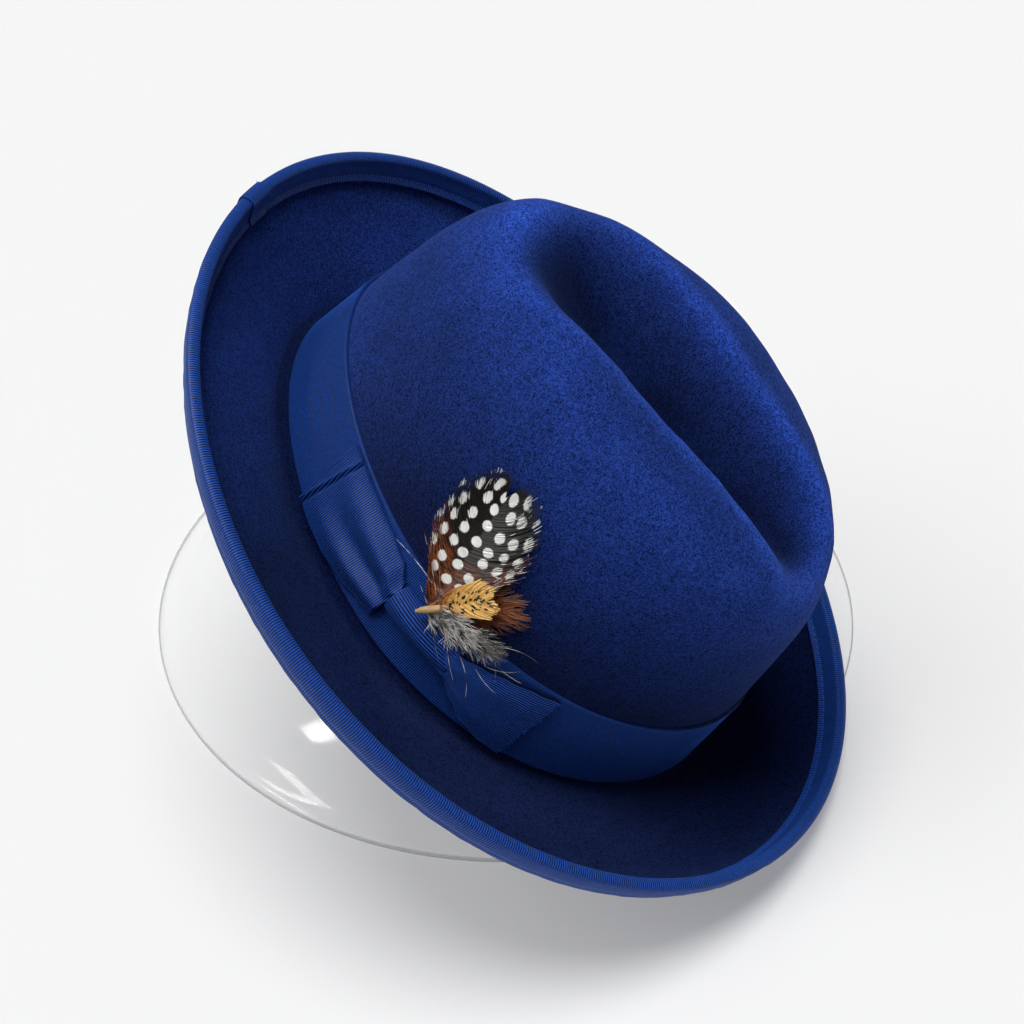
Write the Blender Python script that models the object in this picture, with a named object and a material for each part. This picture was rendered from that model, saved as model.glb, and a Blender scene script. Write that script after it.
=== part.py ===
# Felt hat with a ribbon band, a side bow and a spray of feathers,
# leaning on a plain round stand of clear plastic.
#
# The hat is worked out in its own frame first: +X is the wearer's left,
# +Y is the back, +Z goes up the crown, and the origin is the middle of
# the head opening. It is then tipped back, stood on the back of its brim
# and leant on the stand.
import math

import bpy
import numpy as np
from mathutils import Matrix
from mathutils.bvhtree import BVHTree

# Clearance that keeps neighbouring solids apart
GAP = 0.0003

# Felt, and the foot of the crown, measured over the felt
FELT = 0.0022
HEAD_LENGTH = 0.2094
HEAD_WIDTH = 0.1772
HEAD_POWER = 1.86
HEAD_BACK_FULLNESS = 0.079

# Crown
CROWN_HEIGHT = 0.1131
CROWN_FALL = 0.030
CROWN_TOP_LENGTH = 0.1850
CROWN_TOP_WIDTH = 0.1318
CROWN_LEAN = 0.0023
SHOULDER_POWER = 5.83

# Centre dent: its length and width are those of the hollow in the crown's top
DENT_DEPTH = 0.0287
DENT_LENGTH = 0.1760
DENT_WIDTH = 0.0632
DENT_FRONT_FLARE = 0.348
DENT_SHIFT = 0.0023

# Brim, measured over its binding
BRIM_LENGTH = 0.3099
BRIM_WIDTH = 0.2836
BRIM_SHIFT = 0.0009
BRIM_EDGE_FRONT = 0.0299
BRIM_EDGE_SIDE = 0.0188
BRIM_EDGE_BACK = 0.0214
BRIM_SLOPE_FRONT = 78.0
BRIM_SLOPE_SIDE = 87.0
BRIM_SLOPE_BACK = 95.0
BRIM_BREAK_RADIUS = 0.0035
CURL_RADIUS = 0.016

# Ribbon: the binding's width is what shows on each face of the brim
RIBBON = 0.0010
BINDING_WIDTH = 0.0125
BAND_WIDTH = 0.0326
BAND_FOOT = 0.0004

# Bow, on the wearer's left. Distances along it run from the middle of the
# hat, and are negative towards the front.
FRONT_WING_START = -0.0560
FRONT_WING_END = -0.0050
BACK_WING_START = 0.0160
BACK_WING_END = 0.0540
KNOT_START = -0.0088
KNOT_END = 0.0200
BOW_LIFT = 0.0030
KNOT_LIFT = 0.0055
KNOT_MIDDLE = 0.0190
KNOT_WIDTH = 0.0125

# Feathers on the wearer's left. Each has its foot above the knot and its tip at a
# distance back from the middle of the hat and a height; lift is the clearance
# under it. Every vane has the same thickness.
VANE = 0.0010
FEATHER_FOOT_BACK = 0.0010
FEATHER_FOOT_HEIGHT = 0.0280
RUST = {"tip_back": 0.0120, "tip_height": 0.0555, "width": 0.0300, "lift": 0.0017}
SPOTTED = {"tip_back": -0.0055, "tip_height": 0.0845, "width": 0.0290, "lift": 0.0030}
AMBER = {"tip_back": 0.0110, "tip_height": 0.0525, "width": 0.0150, "lift": 0.0044}
GREY = {"tip_back": 0.0310, "tip_height": 0.0350, "width": 0.0130, "lift": 0.0058}
QUILL_LENGTH = 0.0088
QUILL_RADIUS = 0.0011
QUILL_LIFT = 0.0082

# Pose of the hat, in degrees
FRONT_RAISED = 36.05
RIGHT_DROPPED = 12.08

# Stand: a clear shell, open underneath, with a flat lip. Its axis stands to the
# right of the middle of the hat and in front of it. It is as high as the crown
# over it allows.
STAND_RADIUS = 0.142
STAND_WALL = 0.0025
STAND_LIP = 0.007
STAND_LIP_HEIGHT = 0.0039
STAND_RIGHT = 0.0474
STAND_FORWARD = 0.0358

# Number of facets
AROUND = 60
CROWN_ROWS = 14
BRIM_FLAT_ROWS = 2
CURL_ROWS = 2
BINDING_ROWS = 3
BREAK_ROWS = 3
BAND_ROWS = 2
STAND_AROUND = 36
BISECTIONS = 32


def around(front, side, back, cosine):
    """A value that is known at the front, the sides and the back of the hat."""
    return side + cosine * (back - front) / 2 + cosine ** 2 * ((back + front) / 2 - side)


def unit_oval(turn, power):
    """Point of a superellipse of radius 1; turn is 0 at the back and grows to the right."""
    c, s = math.cos(turn), math.sin(turn)
    radius = (abs(c) ** power + abs(s) ** power) ** (-1 / power)
    return -s * radius, c * radius


def bisect(function, low, high):
    """Where a rising function crosses zero."""
    for _ in range(BISECTIONS):
        middle = (low + high) / 2
        if function(middle) < 0:
            low = middle
        else:
            high = middle
    return (low + high) / 2


def crown_point(turn, rho, zeta):
    """Point of the crown's outer face: rho is its share of the radius, zeta of the height."""
    u, v = unit_oval(turn, HEAD_POWER)
    half_length = (HEAD_LENGTH + zeta * (CROWN_TOP_LENGTH - HEAD_LENGTH)) / 2
    half_width = (HEAD_WIDTH + zeta * (CROWN_TOP_WIDTH - HEAD_WIDTH)) / 2
    y = half_length * rho * v
    backwards = y / (HEAD_LENGTH / 2)
    x = half_width * rho * u * (1 + HEAD_BACK_FULLNESS * backwards)
    z = CROWN_HEIGHT * zeta * (1 - CROWN_FALL * backwards)
    y -= CROWN_LEAN * zeta
    return np.array((x, y, z - dent(x, y)))


def dent(x, y):
    """Depth of the centre dent, which widens towards the front."""
    half_width = DENT_WIDTH / 2 * (1 - DENT_FRONT_FLARE * y / (HEAD_LENGTH / 2))
    across = max(0.0, 1 - (x / half_width) ** 2) ** 2
    along = max(0.0, 1 - abs((y - DENT_SHIFT) / (DENT_LENGTH / 2)) ** 4) ** 2
    return DENT_DEPTH * across * along


def wall_point(turn, up):
    """Point of the crown's wall at a height above the head opening."""
    backwards = unit_oval(turn, HEAD_POWER)[1]
    zeta = min(0.995, max(0.0, up / (CROWN_HEIGHT * (1 - CROWN_FALL * backwards))))
    rho = (1 - zeta ** SHOULDER_POWER) ** (1 / SHOULDER_POWER)
    return crown_point(turn, rho, zeta)


def off_wall(turn, up, out):
    """Point that stands a distance off the crown's wall."""
    step = 0.01
    sideways = wall_point(turn + step, up) - wall_point(turn - step, up)
    upwards = wall_point(turn, up + step * CROWN_HEIGHT) - wall_point(turn, up)
    normal = np.cross(sideways, upwards)
    return wall_point(turn, up) + normal * out / np.linalg.norm(normal)


def left_side(along, up, out):
    """Point off the wearer's left of the crown, by its distance back from the middle."""
    turn = bisect(lambda angle: wall_point(angle, up)[1] - along, -math.pi, 0)
    return off_wall(turn, up, out)


def bend(section, radius, start, end, steps):
    """Carry a section on along an arc from one slope to another."""
    out, up = section[-1]
    for step in range(1, steps + 1):
        slope = start + (end - start) * step / steps
        section.append((
            out + radius * (math.sin(slope) - math.sin(start)),
            up + radius * (math.cos(start) - math.cos(slope)),
        ))


def brim_section(width, height, edge_slope, lean):
    """Section of the brim's upper face, from the crown's foot to the felt's edge."""
    foot_slope = lean - math.pi / 2

    def flat_length(slope):
        break_out = BRIM_BREAK_RADIUS * (math.sin(slope) - math.sin(foot_slope))
        curl_out = CURL_RADIUS * (math.sin(edge_slope) - math.sin(slope))
        return (width - break_out - curl_out) / math.cos(slope)

    def too_high(slope):
        break_up = BRIM_BREAK_RADIUS * (math.cos(foot_slope) - math.cos(slope))
        curl_up = CURL_RADIUS * (math.cos(slope) - math.cos(edge_slope))
        return break_up + curl_up + flat_length(slope) * math.sin(slope) - height

    slope = bisect(too_high, -0.5, 1.0)
    binding_slope = edge_slope - BINDING_WIDTH / CURL_RADIUS
    section = [(0.0, 0.0)]
    bend(section, BRIM_BREAK_RADIUS, foot_slope, slope, BREAK_ROWS)
    out, up = section[-1]
    for row in range(1, BRIM_FLAT_ROWS + 1):
        run = flat_length(slope) * row / BRIM_FLAT_ROWS
        section.append((out + run * math.cos(slope), up + run * math.sin(slope)))
    bend(section, CURL_RADIUS, slope, binding_slope, CURL_ROWS)
    bend(section, CURL_RADIUS, binding_slope, edge_slope, BINDING_ROWS)
    return section[1:]


def felt_column(turn):
    """Points of the felt's outer face from beside the crown's top down to the brim's edge."""
    column = []
    for row in range(1, CROWN_ROWS + 1):
        angle = math.pi / 2 * (1 - row / CROWN_ROWS)
        rho, zeta = math.cos(angle), math.sin(angle)
        size = (rho ** SHOULDER_POWER + zeta ** SHOULDER_POWER) ** (1 / SHOULDER_POWER)
        column.append(crown_point(turn, rho / size, zeta / size))
    foot = column[-1]
    above = wall_point(turn, CROWN_HEIGHT / 10)
    lean = math.atan2(np.linalg.norm(foot[:2] - above[:2]), above[2] - foot[2])
    stack = FELT + GAP + RIBBON
    edge = np.array((
        -math.sin(turn) * (BRIM_WIDTH / 2 - stack),
        math.cos(turn) * (BRIM_LENGTH / 2 - stack) - BRIM_SHIFT,
    ))
    reach = edge - foot[:2]
    width = np.linalg.norm(reach)
    cosine = math.cos(turn)
    height = around(BRIM_EDGE_FRONT, BRIM_EDGE_SIDE, BRIM_EDGE_BACK, cosine) - GAP - RIBBON
    slope = math.radians(around(BRIM_SLOPE_FRONT, BRIM_SLOPE_SIDE, BRIM_SLOPE_BACK, cosine))
    for out, up in brim_section(width, height, slope, lean):
        column.append(np.append(foot[:2] + reach / width * out, up))
    return column


def turns():
    return [2 * math.pi * step / AROUND for step in range(AROUND)]


def felt_faces():
    """Rows of points of the felt's outer face, with the face's normals and the row direction."""
    rows = np.array([felt_column(turn) for turn in turns()]).swapaxes(0, 1)
    top = np.tile(crown_point(0, 0, 1), (1, AROUND, 1))
    padded = np.concatenate((top, rows, 2 * rows[-1:] - rows[-2:-1]))
    down = padded[2:] - padded[:-2]
    sideways = np.roll(rows, -1, axis=1) - np.roll(rows, 1, axis=1)
    normals = np.cross(down, sideways)
    normals /= np.linalg.norm(normals, axis=2, keepdims=True)
    edge = rows[-1] - rows[-2]
    edge /= np.linalg.norm(edge, axis=1, keepdims=True)
    return rows, normals, edge


def make_material(name, colour, roughness, alpha=1.0):
    material = bpy.data.materials.new(name)
    material.use_nodes = True
    shader = material.node_tree.nodes["Principled BSDF"]
    shader.inputs["Base Color"].default_value = (*colour, 1.0)
    shader.inputs["Roughness"].default_value = roughness
    shader.inputs["Metallic"].default_value = 0.0
    shader.inputs["Alpha"].default_value = alpha
    return material


def add_object(name, points, faces, material, parent):
    mesh = bpy.data.meshes.new(name)
    mesh.from_pydata([tuple(point) for point in points], [], faces)
    mesh.update()
    mesh.materials.append(material)
    mesh.shade_smooth()
    mesh.set_sharp_from_angle(angle=math.radians(40))
    made = bpy.data.objects.new(name, mesh)
    bpy.context.collection.objects.link(made)
    made.parent = parent
    return made


def ring_solid(name, loops, material, parent, poles=None):
    """Solid skinned over closed loops; without poles the last loop joins the first."""
    count = len(loops[0])
    points = [point for loop in loops for point in loop]
    faces = []
    joins = len(loops) - 1 if poles else len(loops)
    for row in range(joins):
        here, there = row * count, (row + 1) % len(loops) * count
        for step in range(count):
            after = (step + 1) % count
            faces.append((here + step, there + step, there + after, here + after))
    if poles:
        start, end = len(points), len(points) + 1
        points += list(poles)
        last = (len(loops) - 1) * count
        for step in range(count):
            after = (step + 1) % count
            faces.append((start, step, after))
            faces.append((last + step, end, last + after))
    return add_object(name, points, faces, material, parent)


def sheet_solid(name, face, back, material, parent):
    """Solid between two grids of points; rows run back along the hat and columns go up."""
    rows, columns = len(face), len(face[0])
    points = [point for row in face for point in row] + [point for row in back for point in row]
    under = rows * columns
    faces = []
    for row in range(rows - 1):
        for column in range(columns - 1):
            first = row * columns + column
            quad = (first, first + columns, first + columns + 1, first + 1)
            faces.append(quad)
            faces.append(tuple(under + corner for corner in reversed(quad)))
    rim = [row * columns for row in range(rows)]
    rim += [(rows - 1) * columns + column for column in range(1, columns)]
    rim += [row * columns + columns - 1 for row in range(rows - 2, -1, -1)]
    rim += list(range(columns - 2, 0, -1))
    for here, there in zip(rim, rim[1:] + rim[:1]):
        faces.append((there, here, under + here, under + there))
    return add_object(name, points, faces, material, parent)


def make_felt(rows, normals, parent):
    inside = rows - FELT * normals
    loops = list(rows) + list(inside[::-1])
    top = crown_point(0, 0, 1)
    poles = (top, top - np.array((0, 0, FELT)))
    felt = make_material("felt", (0.012, 0.035, 0.22), 0.95)
    return ring_solid("felt_body", loops, felt, parent, poles)


def make_binding(rows, normals, edge, ribbon, parent):
    """Ribbon folded over the felt's edge: down its outside, then back up its inside."""
    bound = range(len(rows) - 1 - BINDING_ROWS, len(rows) - 1)
    skin = GAP + RIBBON
    end, across = rows[-1], normals[-1]
    loops = [rows[row] + skin * normals[row] for row in bound]
    loops.append(end + skin * across + GAP * edge)
    loops.append(end - FELT / 6 * across + skin * edge)
    loops.append(end - FELT * 5 / 6 * across + skin * edge)
    loops.append(end - (FELT + skin) * across + GAP * edge)
    loops += [rows[row] - (FELT + skin) * normals[row] for row in reversed(bound)]
    loops += [rows[row] - (FELT + GAP) * normals[row] for row in bound]
    loops.append(end - (FELT + GAP) * across + GAP * edge)
    loops.append(end + GAP * across + GAP * edge)
    loops += [rows[row] + GAP * normals[row] for row in reversed(bound)]
    return ring_solid("brim_binding", loops, ribbon, parent)


def make_band(ribbon, parent):
    heights = [BAND_FOOT + BAND_WIDTH * row / BAND_ROWS for row in range(BAND_ROWS + 1)]
    loops = [[off_wall(turn, up, GAP + RIBBON) for turn in turns()] for up in reversed(heights)]
    loops += [[off_wall(turn, up, GAP) for turn in turns()] for up in heights]
    return ring_solid("hat_band", loops, ribbon, parent)


# Wings of the bow. along: share of the wing's length; low and high: its edges as
# shares of the band's width; crest and valley: how far its folds stand off the
# band, as shares of the bow's lift.
FRONT_WING = (
    {"along": 0.00, "low": 0.02, "high": 0.97, "crest": 0.10, "valley": 0.10},
    {"along": 0.12, "low": 0.01, "high": 0.98, "crest": 0.45, "valley": 0.35},
    {"along": 0.34, "low": 0.02, "high": 0.97, "crest": 0.85, "valley": 0.35},
    {"along": 0.58, "low": 0.07, "high": 0.94, "crest": 1.00, "valley": 0.20},
    {"along": 0.78, "low": 0.14, "high": 0.88, "crest": 0.95, "valley": 0.15},
    {"along": 0.90, "low": 0.19, "high": 0.76, "crest": 0.55, "valley": 0.12},
    {"along": 0.92, "low": 0.44, "high": 0.71, "crest": 0.35, "valley": 0.10},
    {"along": 1.00, "low": 0.45, "high": 0.70, "crest": 0.30, "valley": 0.10},
)
BACK_WING = (
    {"along": 0.00, "low": 0.45, "high": 0.70, "crest": 0.25, "valley": 0.10},
    {"along": 0.13, "low": 0.43, "high": 0.72, "crest": 0.40, "valley": 0.30},
    {"along": 0.32, "low": 0.26, "high": 0.80, "crest": 0.95, "valley": 0.80},
    {"along": 0.55, "low": 0.12, "high": 0.88, "crest": 1.00, "valley": 0.85},
    {"along": 0.80, "low": 0.04, "high": 0.94, "crest": 0.65, "valley": 0.55},
    {"along": 1.00, "low": 0.01, "high": 0.97, "crest": 0.25, "valley": 0.20},
)
# Columns across a wing: its share of the wing's height, and how much of crest
# and valley it has.
WING_COLUMNS = (
    {"up": 0.00, "crest": 0.00, "valley": 0.60},
    {"up": 0.22, "crest": 0.80, "valley": 0.00},
    {"up": 0.44, "crest": 0.00, "valley": 1.00},
    {"up": 0.72, "crest": 1.00, "valley": 0.00},
    {"up": 1.00, "crest": 0.00, "valley": 0.60},
)


def make_wing(name, table, start, end, ribbon, parent):
    """One wing of the bow: a sheet of ribbon over the band, pleated towards the knot."""
    face, back = [], []
    seat = 2 * GAP + RIBBON
    for station in table:
        along = start + (end - start) * station["along"]
        outer, inner = [], []
        for column in WING_COLUMNS:
            share = station["low"] + (station["high"] - station["low"]) * column["up"]
            up = BAND_FOOT + BAND_WIDTH * share
            fold = column["crest"] * station["crest"] + column["valley"] * station["valley"]
            lift = seat + BOW_LIFT * fold
            inner.append(left_side(along, up, lift))
            outer.append(left_side(along, up, lift + RIBBON))
        face.append(outer)
        back.append(inner)
    return sheet_solid(name, face, back, ribbon, parent)


def make_knot(ribbon, parent):
    """Ribbon wrapped over the pinched middle of the bow, arched from below to above it."""
    columns, rows = 8, 5
    seat = 2 * GAP + RIBBON
    face, back = [], []
    for row in range(rows + 1):
        along = KNOT_START + (KNOT_END - KNOT_START) * row / rows
        outer, inner = [], []
        for column in range(columns + 1):
            angle = math.pi * column / columns
            arch = math.sin(angle)
            up = KNOT_MIDDLE - KNOT_WIDTH / 2 * math.cos(angle)
            inner_up = KNOT_MIDDLE - (KNOT_WIDTH / 2 - RIBBON) * math.cos(angle)
            inner.append(left_side(along, inner_up, seat + (KNOT_LIFT - RIBBON) * arch))
            outer.append(left_side(along, up, seat + KNOT_LIFT * arch))
        face.append(outer)
        back.append(inner)
    return sheet_solid("bow_knot", face, back, ribbon, parent)


# Half widths of a vane on its front and back sides, as shares of its full width.
BROAD_VANE = (
    {"along": 0.00, "front": 0.04, "back": 0.04},
    {"along": 0.12, "front": 0.14, "back": 0.14},
    {"along": 0.30, "front": 0.34, "back": 0.32},
    {"along": 0.50, "front": 0.47, "back": 0.44},
    {"along": 0.70, "front": 0.50, "back": 0.50},
    {"along": 0.85, "front": 0.42, "back": 0.45},
    {"along": 0.95, "front": 0.24, "back": 0.28},
    {"along": 1.00, "front": 0.06, "back": 0.08},
)
# Locks of down: the outline steps in between them.
DOWN_VANE = (
    {"along": 0.00, "front": 0.10, "back": 0.10},
    {"along": 0.20, "front": 0.34, "back": 0.38},
    {"along": 0.34, "front": 0.50, "back": 0.36},
    {"along": 0.40, "front": 0.36, "back": 0.46},
    {"along": 0.58, "front": 0.50, "back": 0.50},
    {"along": 0.64, "front": 0.34, "back": 0.34},
    {"along": 0.86, "front": 0.40, "back": 0.36},
    {"along": 1.00, "front": 0.08, "back": 0.06},
)


def make_feather(name, shape, outline, material, parent):
    """A vane that lies over the crown, from its foot at the knot to its tip."""
    foot = np.array((FEATHER_FOOT_BACK, FEATHER_FOOT_HEIGHT))
    shaft = np.array((shape["tip_back"], shape["tip_height"])) - foot
    across = np.array((-shaft[1], shaft[0])) / np.linalg.norm(shaft)
    face, back = [], []
    for station in outline:
        middle = foot + shaft * station["along"]
        outer, inner = [], []
        for side in (-station["back"], 0.0, station["front"]):
            along, up = middle + across * side * shape["width"]
            inner.append(left_side(along, up, shape["lift"]))
            outer.append(left_side(along, up, shape["lift"] + VANE))
        face.append(outer)
        back.append(inner)
    return sheet_solid(name, face, back, material, parent)


def make_quill(material, parent):
    """The quills' bare end, a short tapered rod in line with the amber feather."""
    sides = 8
    foot = np.array((FEATHER_FOOT_BACK, FEATHER_FOOT_HEIGHT))
    shaft = np.array((AMBER["tip_back"], AMBER["tip_height"])) - foot
    shaft /= np.linalg.norm(shaft)
    across = np.array((-shaft[1], shaft[0]))
    loops = []
    for share, size in ((-0.30, 0.45), (-0.22, 0.85), (0.70, 1.0)):
        loop = []
        for side in range(sides):
            angle = 2 * math.pi * side / sides
            middle = foot + shaft * QUILL_LENGTH * share
            along, up = middle + across * QUILL_RADIUS * size * math.cos(angle)
            loop.append(left_side(along, up, QUILL_LIFT - QUILL_RADIUS * size * math.sin(angle)))
        loops.append(loop)
    poles = [np.mean(loop, axis=0) for loop in (loops[0], loops[-1])]
    return ring_solid("quill_stub", loops, material, parent, poles)


# Outer face of the stand from beside its top down to its lip: shares of its radius
# and of its height. The lip's own heights are shares of the lip's height.
STAND_SECTION = (
    {"radius": 0.052, "height": 0.983},
    {"radius": 0.097, "height": 0.943},
    {"radius": 0.123, "height": 0.845},
    {"radius": 0.155, "height": 0.730},
    {"radius": 0.205, "height": 0.600},
    {"radius": 0.275, "height": 0.487},
    {"radius": 0.380, "height": 0.360},
    {"radius": 0.520, "height": 0.228},
    {"radius": 0.660, "height": 0.128},
    {"radius": 0.790, "height": 0.065},
    {"radius": 0.880, "height": 0.037},
)
LIP_SECTION = (
    {"radius": 0.945, "height": 1.00},
    {"radius": 0.985, "height": 0.69},
    {"radius": 1.000, "height": 0.35},
    {"radius": 1.000, "height": 0.00},
)


def rings(section, height):
    """Radius and height of each ring of a stretch of the stand's outer face."""
    return [(row["radius"] * STAND_RADIUS, row["height"] * height) for row in section]


def stand_ring(radius, height):
    """Points round the stand's axis."""
    steps = [2 * math.pi * step / STAND_AROUND for step in range(STAND_AROUND)]
    return [(radius * math.cos(turn), radius * math.sin(turn), height) for turn in steps]


def make_stand(height):
    """Shell of revolution with an open foot that ends in a flat ring."""
    outside = rings(STAND_SECTION, height) + rings(LIP_SECTION, STAND_LIP_HEIGHT)
    inside = [(STAND_RADIUS - STAND_LIP, 0.0)]
    for before, here, after in zip(outside, outside[1:], outside[2:]):
        run, fall = after[0] - before[0], before[1] - after[1]
        length = math.hypot(run, fall)
        inner = (here[0] - STAND_WALL * fall / length, here[1] - STAND_WALL * run / length)
        if inner[0] < STAND_RADIUS - STAND_LIP and inner[1] > STAND_WALL / 2:
            inside.insert(1, inner)
    loops = [stand_ring(*ring) for ring in outside + inside]
    clear = make_material("clear_plastic", (0.92, 0.94, 0.95), 0.08, alpha=0.35)
    poles = ((0, 0, height), (0, 0, height - STAND_WALL))
    return ring_solid("display_stand", loops, clear, None, poles)


def clear_scene():
    for old in list(bpy.data.objects):
        bpy.data.objects.remove(old, do_unlink=True)


def world_points(made):
    bpy.context.view_layer.update()
    return [made.matrix_world @ vertex.co for vertex in made.data.vertices]


def make_hat(pose):
    """The hat's solids, each in the hat's own frame and carried by the posed empty."""
    ribbon = make_material("ribbon", (0.014, 0.060, 0.34), 0.55)
    rows, normals, edge = felt_faces()
    make_felt(rows, normals, pose)
    make_binding(rows, normals, edge, ribbon, pose)
    make_band(ribbon, pose)
    make_wing("bow_front_wing", FRONT_WING, FRONT_WING_START, FRONT_WING_END, ribbon, pose)
    make_wing("bow_back_wing", BACK_WING, BACK_WING_START, BACK_WING_END, ribbon, pose)
    make_knot(ribbon, pose)
    rust = make_material("rust_vane", (0.30, 0.09, 0.03), 0.7)
    black = make_material("black_vane", (0.02, 0.02, 0.02), 0.6)
    amber = make_material("amber_vane", (0.75, 0.42, 0.10), 0.6)
    grey = make_material("grey_down", (0.45, 0.42, 0.38), 0.8)
    make_feather("rust_feather", RUST, DOWN_VANE, rust, pose)
    make_feather("spotted_feather", SPOTTED, BROAD_VANE, black, pose)
    make_feather("amber_feather", AMBER, BROAD_VANE, amber, pose)
    make_feather("grey_feather", GREY, DOWN_VANE, grey, pose)
    make_quill(make_material("quill", (0.60, 0.44, 0.24), 0.5), pose)


def shape_tree(made):
    faces = [tuple(face.vertices) for face in made.data.polygons]
    return BVHTree.FromPolygons(world_points(made), faces)


def sunk(stretch, hat_trees):
    """How far up the hat would have to go to clear some rings of the stand under it."""
    least = -1.0
    for radius, height in stretch:
        for x, y, z in stand_ring(radius, height):
            for tree in hat_trees:
                start = (x - STAND_RIGHT, y - STAND_FORWARD, -1.0)
                hit, normal, _, _ = tree.ray_cast(start, (0, 0, 1))
                if hit is not None:
                    least = max(least, z - hit.z + GAP / abs(normal.z))
    return least


def main():
    clear_scene()
    pose = bpy.data.objects.new("hat_pose", None)
    bpy.context.collection.objects.link(pose)
    make_hat(pose)
    tilt = Matrix.Rotation(-math.radians(FRONT_RAISED), 4, "X")
    tilt = tilt @ Matrix.Rotation(-math.radians(RIGHT_DROPPED), 4, "Y")
    pose.matrix_world = tilt
    lowest = min(point.z for made in pose.children for point in world_points(made))

    # The back of the brim lies on the stand's lip, and the stand reaches up to the crown.
    pose.matrix_world = Matrix.Translation((0, 0, -lowest)) @ tilt
    hat_trees = [shape_tree(made) for made in pose.children]
    rise = max(0.0, sunk(rings(LIP_SECTION, STAND_LIP_HEIGHT), hat_trees))
    stand_height = bisect(
        lambda height: sunk(rings(STAND_SECTION, height), hat_trees) - rise,
        STAND_LIP_HEIGHT, 2 * CROWN_HEIGHT,
    )
    stand = make_stand(stand_height)
    stand.location = (-STAND_RIGHT, -STAND_FORWARD, 0)

    # The origin goes under the middle of the whole thing's box.
    points = [point for made in (*pose.children, stand) for point in world_points(made)]
    middle_x = (min(point.x for point in points) + max(point.x for point in points)) / 2
    middle_y = (min(point.y for point in points) + max(point.y for point in points)) / 2
    pose.matrix_world = Matrix.Translation((-middle_x, -middle_y, rise - lowest)) @ tilt
    stand.location = (-STAND_RIGHT - middle_x, -STAND_FORWARD - middle_y, 0)


main()
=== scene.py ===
import math

import bpy
import numpy as np
from mathutils import Matrix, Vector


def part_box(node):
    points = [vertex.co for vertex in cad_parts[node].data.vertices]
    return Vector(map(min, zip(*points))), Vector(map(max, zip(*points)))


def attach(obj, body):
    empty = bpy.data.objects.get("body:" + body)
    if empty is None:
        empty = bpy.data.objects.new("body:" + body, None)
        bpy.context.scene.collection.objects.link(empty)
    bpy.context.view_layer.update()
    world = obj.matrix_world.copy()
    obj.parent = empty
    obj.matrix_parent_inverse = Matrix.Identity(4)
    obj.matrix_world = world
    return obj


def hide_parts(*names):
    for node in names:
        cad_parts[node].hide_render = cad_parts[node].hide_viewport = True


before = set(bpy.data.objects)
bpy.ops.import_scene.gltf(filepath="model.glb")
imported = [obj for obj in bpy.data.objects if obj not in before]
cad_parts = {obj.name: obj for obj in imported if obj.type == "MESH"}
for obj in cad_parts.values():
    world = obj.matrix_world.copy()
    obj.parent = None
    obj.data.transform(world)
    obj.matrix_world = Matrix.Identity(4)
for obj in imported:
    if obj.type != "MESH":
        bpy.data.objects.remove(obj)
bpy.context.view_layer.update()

# A blue felt fedora with a ribbon band, a side bow and a spray of feathers, leaning on a
# round clear stand. Every shape is worked out in the hat's own frame, with +X to the
# wearer's left, +Y to the back and +Z up the crown, and then tipped into place.


# FELT BODY
# Crown and brim are one hood of wool felt, about 2 mm thick, steamed and pulled over a
# block, with the centre dent pressed in by hand and the edge curled up all round. The
# nap is brushed short, so light and dark hairs show all over it.
FELT = 0.0022
HEAD_LENGTH = 0.2094
HEAD_WIDTH = 0.1772
HEAD_POWER = 1.86
HEAD_BACK_FULLNESS = 0.079
CROWN_HEIGHT = 0.1131
CROWN_FALL = 0.030
CROWN_TOP_LENGTH = 0.1850
CROWN_TOP_WIDTH = 0.1318
CROWN_LEAN = 0.0023
SHOULDER_POWER = 5.83
DENT_DEPTH = 0.0287
DENT_LENGTH = 0.1760
DENT_WIDTH = 0.0632
DENT_FRONT_FLARE = 0.348
DENT_SHIFT = 0.0023
BRIM_LENGTH = 0.3099
BRIM_WIDTH = 0.2836
BRIM_SHIFT = 0.0009
BRIM_EDGE = {"front": 0.0299, "side": 0.0188, "back": 0.0214}
BRIM_SLOPE = {"front": 78.0, "side": 87.0, "back": 95.0}
BRIM_BREAK_RADIUS = 0.0035
CURL_RADIUS = 0.016
GAP = 0.0003
RIBBON = 0.0010
BINDING_WIDTH = 0.0090
FRONT_RAISED = math.radians(36.05)
RIGHT_DROPPED = math.radians(12.08)
FELT_COLUMNS = 300
CROWN_ROWS = 64


def around(value, cosine):
    """A value known at the front, the sides and the back of the hat."""
    front, side, back = value["front"], value["side"], value["back"]
    return side + cosine * (back - front) / 2 + cosine**2 * ((back + front) / 2 - side)


def head_oval(turn):
    """Oval of radius 1; turn is 0 at the back and grows to the wearer's right."""
    c, s = np.cos(turn), np.sin(turn)
    radius = (np.abs(c) ** HEAD_POWER + np.abs(s) ** HEAD_POWER) ** (-1 / HEAD_POWER)
    return -s * radius, c * radius


def dent(x, y):
    half_width = DENT_WIDTH / 2 * (1 - DENT_FRONT_FLARE * y / (HEAD_LENGTH / 2))
    across = np.maximum(0.0, 1 - (x / half_width) ** 2) ** 2
    along = np.maximum(0.0, 1 - np.abs((y - DENT_SHIFT) / (DENT_LENGTH / 2)) ** 4) ** 2
    return DENT_DEPTH * across * along


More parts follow.
